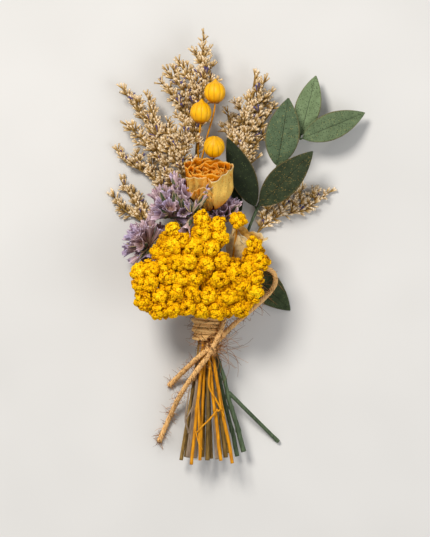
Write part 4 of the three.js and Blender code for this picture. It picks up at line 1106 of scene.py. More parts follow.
YARROW_HEADS = {
    "left": (
        (-30.5, -19.5, 24), (-36, -20, 37),
        [
            (-48.6, -12.2), (-42.6, -11.4), (-48, -19), (-42.4, -17.6), (-38.7, -24), (-34, -15),
            (-30.2, -22.6), (-46.2, -26.8), (-38.9, -31.8), (-31.4, -31), (-28.2, -15.6), (-22.2, -24),
            (-24, -29.6), (-17.7, -31.4),
        ],
    ),
    "centre": (
        (-19.2, -10.6, 26), (-21, -2, 39),
        [
            (-38.6, -2.2), (-36, -8.4), (-31.8, 0.4), (-31.5, 8.2), (-29.8, -7.4), (-23.9, -7.4),
            (-26.4, 3.4), (-20.9, 0), (-17.2, 6.4), (-17.7, 13.8), (-12.9, -0.8), (-21, -15.8), (-15.4, -9.2),
            (-8.4, 4.9), (-9.7, 11),
        ],
    ),
    "right": (
        (-3.8, -17.2, 26), (0, -14, 38),
        [
            (0.2, 13.2), (8, 1.1), (11.4, -7.4), (4.6, -11.2), (-1.4, -13.4), (9, -15.4), (8.4, -22.4),
            (2.4, -19.4), (-3.2, -24.2), (1.4, -30.8), (-8.8, -16.4), (-9.9, -31.4), (-14, -24.2),
            (-7.2, -6.8),
        ],
    ),
}
YARROW_DOME_DROP = 0.01
YARROW_GOLD = yarrow_material()


def crumpled_ball(seed, sides=18, rings=11, folds=9):
    """A lump of dried florets, crumpled like paper: sharp creases between rounded ridges."""
    rng = np.random.default_rng(seed)
    polar = np.linspace(0.14, np.pi - 0.3, rings)[:, None]
    angle = np.linspace(0, 2 * np.pi, sides, endpoint=False)[None]
    ways = np.stack([
        np.sin(polar) * np.cos(angle), np.sin(polar) * np.sin(angle), np.cos(polar) + 0 * angle,
    ], axis=-1)
    swell = np.zeros((rings, sides))
    for _ in range(folds):
        pace = rng.uniform(4.5, 12)
        swell += np.abs(np.sin(pace * (ways @ unit(rng.normal(size=3))) + rng.uniform(0, 6))) - 0.64
    swell = swell / math.sqrt(folds) + rng.normal(0, 0.12, (rings, sides))
    points = (ways * (1 + 0.5 * swell)[..., None] * (1, 1, 0.9)).reshape(-1, 3)
    # along is low in the creases and on the lower side of each knob, and the material paints low along dark
    # orange brown: painted shade.
    along = np.clip(0.52 + 1.1 * swell + 0.3 * np.cos(polar), 0, 1).reshape(-1)
    ends = np.array([[0, 0, 0.86], [0, 0, -0.8]])
    last = rings * sides - sides
    faces = [
        ring_faces(rings, sides)[:, ::-1],
        fan_faces(rings * sides, np.arange(sides), False),
        fan_faces(rings * sides + 1, last + np.arange(sides), True),
    ]
    return Template(np.vstack([points, ends]), faces, np.concatenate([along, [0.8, 0.0]]))


KNOBS = [crumpled_ball(seed) for seed in range(400, 408)]
GOLDEN_ANGLE = math.pi * (3 - math.sqrt(5))
YARROW_HEAD_SPREAD = 3.1
YARROW_KNOBS_PER_CLUMP = 10
YARROW_CORE = 2.9
# How much a clump leans out for each millimetre from the head's middle, and how far below it its stalks part.
YARROW_LEAN, YARROW_STALK_DROP = 0.022, 4.2
FILLER_PAIR, FILLER_ROOM, FILLER_SIZE, FILLER_DROP = 13.2, 3.6, 0.92, 3.4
# Low clumps that close the middle of a head where two heads meet.
GAP_CLUMPS = {"centre": [(-15.6, -13.2), (-15.2, -19.4)], "left": [(-29.6, -10.6)]}


def add_yarrow_clump(shape, centre, crown, rng, roomy):
    """A domed cluster of knobs, turned a little outward on its head. Its sides, its core and the lower filler
    clumps are darkened as painted shade.
    """
    outward = (centre - point(crown[0], crown[1], centre[2])) * YARROW_LEAN
    turn = basis(UP + outward, point(0, 1, 0))
    size = roomy * rng.uniform(0.9, 1.08)
    count = YARROW_KNOBS_PER_CLUMP
    twist = rng.uniform(0, 6)
    oval, lean = rng.uniform(0.86, 1.14), rng.uniform(0, 3)
    origins, bases, scales, tones, shade_reaches = [], [], [], [], []
    clump_tone = rng.uniform(0.1, 0.9)
    for i in range(count):
        polar = math.acos(1 - 1.16 * (i + 0.5) / count)
        around = i * GOLDEN_ANGLE + twist
        radial = math.sin(polar) * (1 + (oval - 1) * math.cos(2 * (around - lean)))
        out = point(radial * math.cos(around), radial * math.sin(around), math.cos(polar) * 0.86)
        out = out * rng.uniform(0.82, 1.2)
        origins.append(centre + turn @ out * YARROW_HEAD_SPREAD * size)
        bases.append(basis(turn @ unit(out) + rng.normal(0, 0.35, 3), rng.normal(size=3)))
        knob_size = rng.uniform(1.5, 2.1) * size
        scales.append(np.full(3, knob_size) * (rng.uniform(0.75, 1.2), 1, rng.uniform(0.7, 1.0)))
        tones.append(clump_tone + rng.normal(0, 0.25))
        # Knobs lower on the clump, and all knobs of a filler clump, reach less far along the colours: painted
        # shade.
        shade_reaches.append((1.0 - 0.4 * polar / 1.7) * (1 if roomy == 1 else 0.7) + rng.normal(0, 0.07))
    core = np.array([centre - turn[:, 2] * 0.9])
    core_scale = np.full(3, YARROW_CORE * size) * (1.14, 1.14, 0.95)
    # The core knob reaches only halfway along the colours: painted shade.
    shape.put(KNOBS[0], core, [turn], [core_scale], [0.2], reach=0.5)
    for kind, knob in enumerate(KNOBS):
        chosen = [i for i in range(count) if (i * 5 + int(twist * 7)) % len(KNOBS) == kind]
        if chosen:
            picked = [np.array([v[i] for i in chosen]) for v in (origins, bases, scales, tones, shade_reaches)]
            shape.put(knob, *picked[:4], reach=np.clip(picked[4], 0, 1))
    return turn, origins


def clumps_with_fillers(clumps, gaps):
    """The clumps of a head, and smaller, lower ones that fill the gaps between neighbours."""
    placed = [(x, y, 1.0) for x, y in clumps] + [(x, y, FILLER_SIZE) for x, y in gaps]
    for i, a in enumerate(clumps):
        for b in clumps[i + 1:]:
            middle = ((a[0] + b[0]) / 2, (a[1] + b[1]) / 2)
            room = min(math.dist(middle, p[:2]) for p in placed)
            if math.dist(a, b) <= FILLER_PAIR and room >= FILLER_ROOM:
                placed.append((*middle, FILLER_SIZE))
    return placed


def add_yarrow():
    for index, (name, (fork, crown, clumps)) in enumerate(YARROW_HEADS.items()):
        rng = np.random.default_rng(420 + index)
        shape = Shape()
        for x, y, size in clumps_with_fillers(clumps, GAP_CLUMPS.get(name, [])):
            drop = YARROW_DOME_DROP * ((x - crown[0]) ** 2 + (y - crown[1]) ** 2)
            centre = point(x, y, crown[2] - drop - (FILLER_DROP if size < 1 else 0))
            turn, knobs = add_yarrow_clump(shape, centre, crown, rng, size)
            below = centre - turn[:, 2] * YARROW_STALK_DROP
            middle = (point(*fork) * 0.45 + below * 0.55) + (0, 0, -1.6)
            add_twig(shape, [fork, middle, below, centre - turn[:, 2] * 2.0], 0.62, 0.42, index, slot=1)
            for knob in knobs[::2]:
                add_twig(shape, [below, (below + knob) / 2 + (0, 0, -0.4), knob], 0.26, 0.22, index, slot=1)
        materials = [YARROW_GOLD, DYED_STEM]
        stand_in(shape, f"yarrow_{name}_umbel", materials, "yarrow_flowers", f"yarrow_head_{name}")


add_yarrow()

# ---- sea lavender ------------------------------------------------------------------------------

# Foot radius, column, row, foot, cut, route above the tie, how many of its last millimetres flower, shoots.
SPRAYS = {
    "tall": (
        1.2, 0, 0, (-13.2, 9.5), 0,
        [(-16.4, -10, 12), (-20.4, 20, 9.4), (-20.6, 45, 10.5), (-17.6, 75, 12.5), (-16.7, 107.6, 12)], 66,
        [
            [(-17.3, 83, 12.4), (-11.4, 91.4, 15)], [(-17.7, 72, 12.3), (-9.6, 84, 12)],
            [(-17, 90, 12.3), (-22.6, 99, 12)], [(-17.7, 73, 12.4), (-29.8, 94, 12)],
            [(-18.2, 67, 12), (-36.4, 90.2, 11)], [(-19, 58, 11.4), (-38.8, 83.6, 12)],
            [(-19.8, 51, 11), (-29.4, 74, 15)],
        ],
    ),
    "left": (
        0.95, -2, 0, (-28, 9), -0.8,
        [(-23.6, -16, 11), (-31, 15, 8), (-36.4, 42, 9), (-44.4, 59.6, 9), (-51.6, 70.6, 8), (-58, 80.6, 7)],
        58,
        [
            [(-36.2, 42, 9), (-56.4, 62.8, 7)], [(-37.6, 46, 9), (-45.2, 77, 13)],
            [(-49, 67, 8.4), (-51.4, 75.4, 10)], [(-35.4, 36, 9), (-34.6, 65, 13)],
        ],
    ),
    "left_low": (
        1.1, -0.5, -1, (-17.4, 5.5), 0.6,
        [
            (-19.6, -14, 8.8), (-24, 0, 6.8), (-28.6, 13, 4.6), (-37, 29.6, 4.4), (-48, 38.6, 4),
            (-56.4, 43.4, 4), (-60.6, 49.4, 4),
        ], 44,
        [
            [(-50, 39.8, 4), (-50.6, 48, 5)], [(-42, 34, 4.2), (-43.4, 45.6, 5)],
            [(-37.4, 30, 4.4), (-38, 41, 3)],
        ],
    ),
    "lowest": (
        1.05, -1.5, -1, (-25.6, 5), 0.6,
        [(-26, -18, 8), (-38.6, 0, 4), (-46.6, 15, 2.4), (-54.6, 27, 2), (-58.8, 35, 2)], 34,
        [[(-44.4, 11, 2.8), (-57.6, 19.6, 2), (-62.8, 27.6, 2)], [(-50, 20, 2.3), (-51.6, 30.4, 2.8)]],
    ),
    "right": (
        1.1, 0.5, -1, (-8.4, 5.5), 1.6,
        [(-11.4, -12, 8.4), (-6, 20, 7.2), (1.4, 44, 8), (6, 63.6, 9), (9.4, 88, 9)], 58,
        [
            [(0.6, 42, 8), (-5.4, 70, 10)], [(3.8, 54, 8.4), (1.2, 74, 10)],
            [(3.2, 52, 8.4), (18.2, 79.2, 8)], [(5.6, 62, 9), (14.6, 84.6, 10)],
            [(2, 47, 8.2), (19, 70.6, 7)], [(0.2, 40, 8), (15.6, 58.6, 6)], [(-1.4, 35, 7.7), (11.6, 46, 6)],
        ],
    ),
    "lower_right": (
        1, 1, -2, (-4, 1.2), 2.6,
        [
            (-7, -22, 5), (1.4, -5.6, 2.2), (9, 5.6, 2.4), (18.6, 14.4, 2.8), (34.9, 19.6, 2.4),
            (48.2, 29, 2),
        ], 44,
        [
            [(10.6, 7.4, 2.4), (17.4, 23.6, 4.6)], [(19.4, 14.8, 2.8), (27.2, 26.8, 4)],
            [(27.4, 17.4, 2.6), (33.6, 31, 3.6)], [(34.8, 19.6, 2.4), (39.2, 30, 3)],
        ],
    ),
    "front": (
        1.15, -1, -2, (-21.6, 1.3), 0.8,
        [(-20.6, -16, 5), (-23.4, -1, 3), (-25, 14, 7), (-26.8, 31, 13), (-27.6, 45, 18.6), (-25.4, 62, 21)],
        44,
        [
            [(-26.4, 27, 12), (-38.4, 36.6, 14.5)], [(-27.4, 37.6, 15.8), (-36.4, 50.6, 18)],
            [(-27.6, 45, 18.6), (-33.2, 57.4, 20)], [(-27, 33, 13.8), (-22.6, 44.6, 18.6)],
            [(-27.4, 46, 18.8), (-22.6, 55.6, 23)],
        ],
    ),
}
BUSHINESS = {
    "tall": 1.0, "left": 0.6, "left_low": 0.5, "lowest": 0.45, "right": 0.95, "lower_right": 0.4,
    "front": 1.0,
}
# The spray on the lower right gets a paler tone, to make up for the shade the leaves cast on it: painted
# light.
SPRAY_PAINTED_LIGHT_LIFT = {"lower_right": 0.9}
# The last calyces reach past the end of their shoot, so a shoot stops this many steps early.
TIP_STEPS = 6
SPRAY_STEP = 0.5
SPRAY_MATERIALS = [calyx_material(), violet_material(), twig_material(), TAN_STEM, CUT_END]
CALYX_SLOT, VIOLET_SLOT, TWIG_SLOT, STEM_SLOT, CUT_SLOT = range(5)
CALYX_BAND, VIOLET_BAND, TWIG_BAND = (0.0, 0.7), (0.74, 0.84), (0.88, 0.98)
STOP_STEP = 1.5
VIOLET_SHARE = 0.03


def calyx(seed):
    """A slender tube, a little bent, that opens into a toothed cup."""
    rng = np.random.default_rng(seed)
    sides, rows = 6, 5
    heights = np.array([0, 0.22, 0.5, 0.78, 1.0])
    radii = np.array([0.05, 0.11, 0.12, 0.14, 0.2])
    angle = np.linspace(0, 2 * np.pi, sides, endpoint=False)
    lean = rng.normal(0, 0.1, 2)
    points, along = [], []
    for row, (height, radius) in enumerate(zip(heights, radii)):
        tooth = (0.07 if row == rows - 1 else 0.0) * np.where(np.arange(sides) % 2, 1, -1)
        for k in range(sides):
            bent = lean * height**2
            x, y = radius * math.cos(angle[k]) + bent[0], radius * math.sin(angle[k]) + bent[1]
            points.append((x, y, height + tooth[k]))
            along.append(min(1, height + tooth[k] * 1.5))
    points.append((lean[0] * 0.6, lean[1] * 0.6, 0.8))
    points.append((0, 0, -0.01))
    along += [0.35, 0]
    ring, wall = np.arange(sides), rows * sides
    faces = [
        ring_faces(rows, sides), fan_faces(wall, wall - sides + ring, False), fan_faces(wall + 1, ring, True),
    ]
    return Template(points, faces, along)


def twiglet():
    """A straight thin stalk."""
    sides, ring = 4, np.arange(4)
    ends = ((0, 1.0), (1, 0.75))
    rows = [[(r * math.cos(a), r * math.sin(a), z) for a in ring * np.pi / 2] for z, r in ends]
    faces = [
        ring_faces(2, sides), fan_faces(2 * sides, sides + ring, False), fan_faces(2 * sides + 1, ring, True),
    ]
    return Template([*rows[0], *rows[1], (0, 0, 1), (0, 0, 0)], faces, [0] * sides + [1] * sides + [1, 0])


CALYCES = [calyx(seed) for seed in range(500, 506)]
TWIGLET = twiglet()


class Sprinkle:
    """Collects where the calyces and stalks of one spray go, then places them together."""

    def __init__(self, seed, painted_light_lift):
        self.rng = np.random.default_rng(seed)
        self.painted_light_lift = painted_light_lift
        self.calyces = []
        self.stalks = []

    def fan(self, start, direction, across, size):
        """A short stalk that ends in two to four calyces side by side."""
        rng = self.rng
        stalk = rng.uniform(0.4, 2.0) * size
        tip = start + direction * stalk
        self.stalks.append((start, tip))
        count = rng.integers(2, 5)
        for i in range(count):
            spread = (i - (count - 1) / 2) * 0.3 + rng.normal(0, 0.1)
            aim = rotated(direction, across, spread) + rng.normal(0, 0.1, 3)
            foot = tip - direction * rng.uniform(0, 0.8) * stalk
            length = rng.uniform(3.5, 5.0) * size
            # The tone added for the whole spray is painted light.
            tone = rng.uniform() + self.painted_light_lift
            self.calyces.append((foot, unit(aim), length, tone, rng.uniform() < VIOLET_SHARE))

    def shoot(self, path, size=1.0, bushy=1.0, start=0.12):
        """Fans on both sides of a shoot, more of them on the side that faces up.
        bushy is how long its own side shoots are: 0 for none."""
        rng = self.rng
        line = evenly(path, SPRAY_STEP)
        total = lengths_along(line)[-1]
        tangents = tangents_of(line)
        travelled = total * start
        while travelled < total:
            at = min(len(line) - 1, int(travelled / total * (len(line) - 1)))
            tangent = tangents[at]
            side = unit(np.cross(tangent, UP))
            upper = math.copysign(1, side[1]) if abs(side[1]) > 0.15 else rng.choice([-1, 1])
            sign = upper if rng.uniform() < 0.5 + 0.34 * abs(side[1]) else -upper
            normal = np.cross(side, tangent)
            roll = rng.uniform(-0.5, 1.1)
            outward = side * sign * math.cos(roll) + normal * math.sin(roll)
            lean = rng.uniform(0.35, 0.7)
            direction = unit(tangent * math.cos(lean) + outward * math.sin(lean))
            taper = 1 - 0.18 * travelled / total
            self.fan(line[at], direction, normal, size * taper)
            travelled += STOP_STEP * rng.uniform(0.6, 1.3)
        self.fan(line[-1], tangents[-1], np.cross(unit(np.cross(tangents[-1], UP)), tangents[-1]), size * 0.9)
        if not bushy:
            return
        travelled = total * max(start, 0.2)
        flip = rng.choice([-1, 1])
        while travelled < total * 0.85:
            at = int(travelled / total * (len(line) - 1))
            tangent = tangents[at]
            side = unit(np.cross(tangent, UP))
            upper = math.copysign(1, side[1])
            side = side * (upper if abs(side[1]) > 0.45 and rng.uniform() < 0.85 else flip)
            lean = rng.uniform(0.45, 0.75)
            direction = unit(tangent * math.cos(lean) + side * math.sin(lean) + UP * rng.normal(0.1, 0.25))
            reach = rng.uniform(4.5, 8.5) * (1.1 - 0.6 * travelled / total) * bushy
            t = np.linspace(0, 1, 6)[:, None]
            twig = line[at] + direction * reach * t + tangent * reach * 0.25 * t**2
            self.stalks += list(zip(twig[:-1], twig[1:]))
            self.shoot(twig, size * 0.92, bushy=0, start=0.3)
            travelled += rng.uniform(4.0, 6.2)
            flip = -flip

    def place(self, shape):
        starts = np.array([s for s, _ in self.stalks])
        steps = np.array([e for _, e in self.stalks]) - starts
        reach = np.linalg.norm(steps, axis=1)
        bases = np.array([basis(step) for step in steps])
        scales = np.stack([np.full(len(reach), 0.22)] * 2 + [reach], axis=1)
        tones = self.rng.uniform(size=len(reach))
        shape.put(TWIGLET, starts, bases, scales, tones, TWIG_SLOT, TWIG_BAND)
        for kind, template in enumerate(CALYCES):
            for violet in (False, True):
                mine = [c for i, c in enumerate(self.calyces) if i % len(CALYCES) == kind and c[4] == violet]
                if not mine:
                    continue
                origins = np.array([c[0] for c in mine])
                bases = np.array([basis(c[1], self.rng.normal(size=3)) for c in mine])
                length = np.array([c[2] for c in mine])
                width = length * (0.8 if violet else 0.76)
                scales = np.stack([width, width, length], axis=1)
                slot, band = (VIOLET_SLOT, VIOLET_BAND) if violet else (CALYX_SLOT, CALYX_BAND)
                shape.put(template, origins, bases, scales, [c[3] for c in mine], slot, band)


def add_sprays():
    for index, (name, spray) in enumerate(SPRAYS.items()):
        foot_radius, column, row, foot, cut, above, flowering, shoots = spray
        shape = Shape()
        route = stem_route(column, row, foot, cut, above)
        add_stem_skin(
            shape, route, foot_radius, 0.4, 600 + index, slot=STEM_SLOT, ridges=5, ridge_depth=0.1,
            nodes=(-72,), cut_slot=CUT_SLOT,
        )
        line = evenly(smooth_curve(route, 16), SPRAY_STEP)
        flowers = Sprinkle(620 + index, SPRAY_PAINTED_LIGHT_LIFT.get(name, 0.0))
        bushy = BUSHINESS[name]
        flowers.shoot(line[-int(flowering / SPRAY_STEP):-TIP_STEPS], bushy=bushy, start=0.05)
        for shoot in shoots:
            start, end = point(*shoot[0]), point(*shoot[-1])
            middle = (start + end) / 2 + UP * 0.4 if len(shoot) == 2 else point(*shoot[1])
            path = evenly(smooth_curve([start, middle, end], 10), SPRAY_STEP)[:-TIP_STEPS]
            shape.tube(path[::2], 0.45, 7, slot=STEM_SLOT)
            flowers.shoot(path, bushy=bushy)
        flowers.place(shape)
        stand_in(shape, f"spray_{name}", SPRAY_MATERIALS, "sea_lavender", f"sea_lavender_{name}")


add_sprays()

# ---- statice -----------------------------------------------------------------------------------

# Each cluster has a hub, its open funnels and its narrow buds. Clusters after the first are on a stalk.
STATICE_HEADS = {
    "statice_1": [
        (
            (-43.6, 0.5, 12.5),
            [
                (-55.8, -1.5, 14), (-52.6, -7.6, 11), (-55.2, 5.6, 11), (-51.6, 9.4, 16), (-46.4, 12.6, 12),
                (-43, 11.8, 20), (-37.6, 9.6, 18), (-48.6, 1.6, 22), (-45, -6.6, 19), (-50.4, 6.4, 21),
            ],
            [(-53.6, 1.6, 20), (-49.4, -3.2, 22)],
        ),
    ],
    "statice_2": [
        (
            (-33, 15, 16),
            [
                (-41.6, 20.6, 17), (-37.4, 26, 15), (-30.6, 27.4, 17), (-33.4, 20.4, 26.5), (-25.6, 26, 20),
                (-25.6, 17.4, 25), (-39.6, 15.8, 22.6), (-27.6, 23, 27), (-24.8, 12.6, 18), (-43.4, 15.4, 16),
                (-41, 27.6, 18), (-35.6, 28.6, 21),
            ],
            [(-38.6, 29.4, 22), (-29.6, 31, 24)],
        ),
        (
            (-27, 17, 23), [(-28.6, 33, 27), (-25.2, 27.2, 36), (-26.2, 17.2, 33.5)],
            [(-31.6, 35.4, 30.4), (-30.2, 29.6, 32), (-28.2, 26.4, 33)],
        ),
        (
            (-22, 15.4, 31.4), [(-25.6, 7.4, 39.5)],
            [(-15.8, 26, 39), (-13.8, 29.4, 40), (-24.6, 21.4, 36), (-19.6, 21.6, 37)],
        ),
    ],
    "statice_3": [
        (
            (-6.4, 12.4, 17),
            [
                (-2.6, 23.4, 21), (-7.2, 20, 27), (-1.8, 18, 26), (-9.6, 15.6, 27), (1.2, 16.6, 19),
                (-4.4, 22, 26), (-12, 16.4, 25),
            ],
            [(0.6, 21.4, 24)],
        ),
    ],
}
STATICE_RADIUS = 3.3
STATICE_BUD_RADIUS = 1.7
STATICE_THROAT = 0.7
FUNNEL_SIDES, FUNNEL_ROWS, LINING_ROWS = 50, 13, 7
STATICE_MAUVE = statice_material()
STATICE_BRACT = bract_material()


def add_funnel(shape, hub, tip, rng, rim_radius=STATICE_RADIUS, bracts=2):
    """A pleated paper funnel with a wavy rim, closed as a thin shell, in its bracts."""
    length = np.linalg.norm(tip - hub) + 0.6
    turn = basis(tip - hub, rng.normal(size=3))
    angle = np.linspace(0, 2 * np.pi, FUNNEL_SIDES, endpoint=False)[None]
    share = np.linspace(0, 1, FUNNEL_ROWS)[:, None]
    profile = STATICE_THROAT + (share**2.3) * (rim_radius * rng.uniform(0.86, 1.06) - STATICE_THROAT)
    lobes = np.cos(5 * angle + rng.uniform(0, 6))
    pleats = np.cos(15 * angle + rng.uniform(0, 6))
    radius = profile * (1 + (0.13 * lobes + 0.09 * pleats) * share**1.5)
    radius = radius * (1 + 0.22 * np.cos(2 * angle + rng.uniform(0, 6)) * share)
    height = length * share + share**3 * (0.75 * lobes + 0.3 * pleats) + 0 * angle
    height = height + share**4 * 0.5 * np.cos(angle + rng.uniform(0, 6))
    # Lower tone in the pleat valleys and the lower lobes: painted shade, partly also the funnel's darker
    # veins.
    tone = 0.5 + 0.28 * pleats * share + 0.18 * lobes + rng.normal(0, 0.1)
    outer = np.stack([radius * np.cos(angle), radius * np.sin(angle), height], axis=-1)
    at = np.linspace(1, 0.62, LINING_ROWS) * (FUNNEL_ROWS - 1)
    low = np.floor(at).astype(int)
    mix = (at - low)[:, None, None]
    high = np.minimum(low + 1, FUNNEL_ROWS - 1)
    inner = outer[low] * (1 - mix) + outer[high] * mix
    inner[..., :2] *= (1 - 0.16 / np.maximum(np.linalg.norm(inner[..., :2], axis=-1), 0.5))[..., None]
    inner[..., 2] -= 0.05
    both = np.concatenate([outer, inner])
    # The lining has a lower tone and darkens further down: painted shade inside the funnel.
    tones = np.concatenate([tone + 0 * share, np.broadcast_to(tone[-1:] - 0.2, (LINING_ROWS, FUNNEL_SIDES))])
    along = np.concatenate([share.ravel(), np.linspace(1, 0.35, LINING_ROWS)])
    shape.rings(both @ turn.T + hub, np.clip(tones, 0, 1), along)
    for _ in range(bracts):
        around = rng.uniform(0, 2 * np.pi)
        out = turn @ point(math.cos(around), math.sin(around), 0)
        start = hub + turn[:, 2] * length * 0.2 + out * 0.3
        reach = rng.uniform(0.86, 1.04) if rim_radius < STATICE_RADIUS else rng.uniform(0.62, 0.82)
        end = hub + turn[:, 2] * length * reach + out * rng.uniform(1.2, 2.0)
        grid, across = leaf_like(start, end, 2.6, out)
        shape.sheet(grid, 0.22, tone=across, slot=1)


def leaf_like(start, end, width, face, columns=7, rows=10):
    """A small boat-shaped bract whose back faces out."""
    run = end - start
    side = unit(np.cross(run, face))
    out = np.cross(side, unit(run)) * (1 if np.dot(np.cross(side, unit(run)), face) > 0 else -1)
    along = np.linspace(0, 1, rows)[:, None]
    across = np.linspace(-1, 1, columns)[None]
    half = np.maximum(np.sin(np.pi * np.clip(along, 0, 1) ** 0.8) ** 0.7, 0.07) * width / 2
    lift = 0.5 * np.sin(np.pi * along) - 0.45 * across**2 * half
    grid = start + along[..., None] * run + side * (across * half)[..., None] + out * lift[..., None]
    return grid, np.broadcast_to(np.abs(across), (rows, columns))


def add_statice():
    for index, (name, clusters) in enumerate(STATICE_HEADS.items()):
        rng = np.random.default_rng(700 + index)
        shape = Shape()
        previous = None
        for hub, tips, buds in clusters:
            hub = point(*hub)
            if previous is not None:
                middle = (previous + hub) / 2 + (0.4, -0.4, -0.4)
                add_twig(shape, [previous, middle, hub], 0.9, 0.7, index, slot=2)
            for tip in tips:
                add_funnel(shape, hub, point(*tip), rng)
            for tip in buds:
                add_funnel(shape, hub, point(*tip), rng, rim_radius=STATICE_BUD_RADIUS, bracts=4)
            previous = hub
        hub, tips, _ = clusters[0]
        hub = point(*hub)
        for _ in range(len(tips) // 2):
            a, b = rng.choice(len(tips), 2, replace=False)
            between = (point(*tips[a]) + point(*tips[b])) / 2
            add_funnel(shape, hub, hub + unit(between - hub) * rng.uniform(9, 11.5), rng)
        materials = [STATICE_MAUVE, STATICE_BRACT, GREEN_STEM]
        stand_in(shape, f"{name}_heads", materials, "statice_flowers", f"{name}_flowers")


add_statice()

# ---- roses -------------------------------------------------------------------------------------

# The middle of the cup's base and of its rim, and the rim's radius.
ROSES = {
    "rose_1": ((-13.2, 19, 22), (-14.1, 40.3, 32.6), 12.2),
    "rose_2": ((-1.4, -8.4, 15.6), (6.2, 7.6, 18.6), 8.4),
}
ROSE_MATERIALS = {
    "rose_1": petal_material("rose_orange", "5a1400", "f48c00", "ffe8ae", "ffd068", "9c540e"),
    "rose_2": petal_material("rose_peach", "a86018", "ffc766", "fff4d0", "ffe2a4", "d09450"),
}
# Where on the cup a petal starts, and how many small folds cross each other on it.
PETAL_START, PETAL_FOLDS = 0.06, 14


def cup_profile(height):
    """Radius of the cup as a share of its rim's, from base to rim."""
    return np.sin(np.pi / 2 * np.minimum(1, 0.16 + 1.5 * height)) * (1 - 0.06 * height)


def wrinkles(across, up, rng):
    """Small folds that run every way over a sheet."""
    total = 0 * across * up
    for _ in range(PETAL_FOLDS):
        lean, pace = rng.uniform(-0.9, 0.9), rng.uniform(5, 17)
        total = total + np.sin(pace * (across * math.cos(lean) + up * math.sin(lean)) + rng.uniform(0, 6))
    return total / math.sqrt(PETAL_FOLDS)


def petal(
    shape, rose, turn, middle, width, scale, top, rng, ruffle, curl, pale, rounding=0.04, slant=0.0,
    rows=26, columns=40,
):
    """One cupped, crinkled petal. middle and width are angles round the cup, scale is its share of the
    cup's radius, rounding how far its corners drop, and slant how much higher its right corner is."""
    base, rim, rim_radius = rose
    length = np.linalg.norm(point(*rim) - point(*base))
    up = np.linspace(0, 1, rows)[:, None]
    across = np.linspace(-1, 1, columns)[None]
    phase = rng.uniform(0, 6, 6)
    edge = 1 - rounding * across**2 - 0.06 * np.abs(across) ** 6 + slant * across
    edge = edge + 0.025 * np.sin(3.5 * across + phase[0]) + 0.018 * np.sin(11 * across + phase[1])
    height = PETAL_START + (top * edge - PETAL_START) * up
    angle = middle + width / 2 * across * (0.5 + 0.5 * np.minimum(1, 2.4 * up + 0.12))
    radius = rim_radius * scale * cup_profile(np.clip(height, 0, 1.1))
    radius = radius + curl * up**9 * (0.9 + 0.6 * np.sin(2.3 * across + phase[2]))
    radius = radius - 0.4 * np.abs(across) ** 5 * up
    waves = np.sin(3.1 * across + phase[3]) * up**2
    waves = waves + 0.55 * np.sin(8.5 * across + phase[4] + 2 * up) * up**2.4
    folds = wrinkles(across, up, rng)
    radius = radius + ruffle * waves + (0.2 + 0.16 * ruffle) * folds * np.minimum(1, 3 * up)
    radius = np.maximum(radius, 0.3)
    local = np.stack([radius * np.sin(angle), length * height, radius * np.cos(angle)], axis=-1)
    thickness = 0.28 - 0.14 * up + 0 * across
    tone = pale + 0.1 * waves + 0.08 * folds
    shape.sheet(local @ turn.T + point(*base), thickness, tone=tone, along=up + 0 * across)


# Outer petals: middle and width (degrees round the cup), scale, top, ruffle, curl, paleness, rounding, slant.
OUTER_PETALS = {
    "rose_1": [
        [(49, 90, 1.0, 0.97, 0.3, 0.8, 1.0, 0.01, 0.06)],
        [(118, 86, 0.98, 0.93, 0.6, 0.4, 0.55, 0.05, 0)],
        [(190, 92, 0.96, 0.97, 0.7, 0.2, 0.2, 0.05, 0.02)],
        [(262, 92, 0.99, 1.0, 0.6, 0.5, 0.1, 0.05, 0)],
        [
            (330, 88, 0.97, 0.93, 0.9, 0.9, 0.6, 0.05, 0.03),
            (346, 46, 1.03, 0.75, 0.4, 1.1, 0.5, 0.22, 0.05), (350, 34, 1.07, 0.63, 0.35, 1.1, 0.45, 0.3, 0),
            (338, 40, 1.05, 0.69, 0.5, 1.0, 0.3, 0.25, -0.05),
            (316, 50, 1.03, 0.6, 0.5, 1.0, 0.25, 0.2, -0.1),
        ],
    ],
    "rose_2": [
        [(58, 92, 1.0, 1.04, 0.6, 2.0, 0.9, 0.1, 0.1)], [(135, 112, 0.98, 1.02, 0.45, 0.8, 0.7, 0.1, 0)],
        [(225, 112, 0.99, 1.0, 0.5, 0.8, 0.6, 0.1, 0)],
        [
            (330, 118, 0.99, 0.97, 0.7, 1.6, 0.95, 0.1, -0.16),
            (356, 76, 1.07, 0.74, 0.6, 1.6, 1.0, 0.15, -0.3),
        ],
    ],
}
# The petals inside, layer by layer: scale, how many, how wide, top and depth of ruffle.
INNER_LAYERS = [
    (0.88, 3, 132, 0.96, 0.9), (0.77, 3, 126, 0.93, 1.3), (0.65, 3, 132, 0.9, 1.6), (0.53, 3, 136, 0.88, 1.7),
    (0.41, 3, 140, 0.86, 1.5), (0.28, 2, 190, 0.84, 1.0), (0.15, 2, 190, 0.8, 0.5),
]


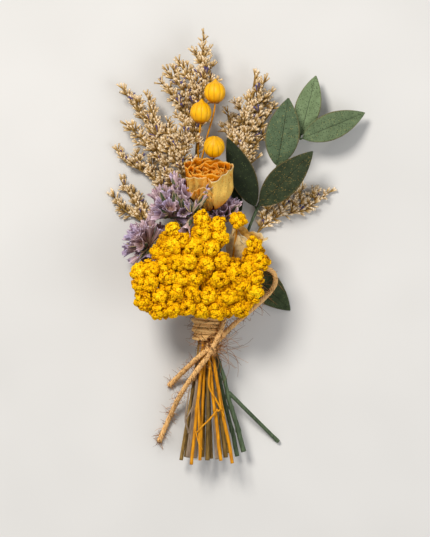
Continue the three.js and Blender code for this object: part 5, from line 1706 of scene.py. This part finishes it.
def add_sepals(rose, turn, name):
    """Five narrow green-brown sepals on a small swollen hip."""
    base = point(*rose[0])
    shape = Shape()
    heights = np.linspace(-1.5, 1.4, 12)
    radii = 1.0 + 1.2 * np.sin(np.pi * (heights + 1.5) / 4.2) ** 1.2
    angle = np.linspace(0, 2 * np.pi, 20, endpoint=False)
    x, z = radii[:, None] * np.sin(angle), radii[:, None] * np.cos(angle)
    grid = np.stack([x, heights[:, None] + 0 * angle, z], axis=-1)
    shape.rings(grid[:, ::-1] @ turn.T + base, tone=0.4)
    for k in range(5):
        lean = 2 * np.pi * (k + 0.3) / 5
        out = point(math.sin(lean), 0, math.cos(lean))
        start, end = out * 2.0 + (0, 0.9, 0), out * 4.4 + (0, -3.4 + (k % 2) * 2.2, 0)
        grid, across = leaf_like(turn @ start + base, turn @ end + base, 2.0, turn @ (out * 0.4 + (0, 1, 0)))
        shape.sheet(grid, 0.25, tone=across)
    material = stem_material(f"sepal_{name}", "4a4424", "80774a", 0.8)
    stand_in(shape, f"{name}_calyx", [material], "sepal", f"{name}_sepals")


def add_roses():
    for index, (name, rose) in enumerate(ROSES.items()):
        rng = np.random.default_rng(800 + index)
        turn = turned_from_y(point(*rose[1]) - point(*rose[0]))
        slot = "orange_petal" if name == "rose_1" else "peach_petal"
        material = ROSE_MATERIALS[name]
        for number, leaves in enumerate(OUTER_PETALS[name], 1):
            shape = Shape()
            for middle, width, scale, top, ruffle, *rest in leaves:
                petal(
                    shape, rose, turn, math.radians(middle), math.radians(width), scale, top, rng,
                    ruffle * rose[2] / 12, *rest,
                )
            stand_in(shape, f"{name}_outer_{number}", [material], slot, f"{name}_petal_{number}")
        shape = Shape()
        for layer, (scale, count, width, top, ruffle) in enumerate(INNER_LAYERS):
            for k in range(count):
                middle = 2 * np.pi * (k + 0.37 * layer) / count
                petal(
                    shape, rose, turn, middle, math.radians(width), scale, top * rng.uniform(0.94, 1.03), rng,
                    ruffle * rose[2] / 12, 0.3, 0.1 * rng.uniform(), rows=20, columns=34,
                )
        stand_in(shape, f"{name}_inner", [material], slot, f"{name}_heart")
        add_sepals(rose, turn, name)


add_roses()
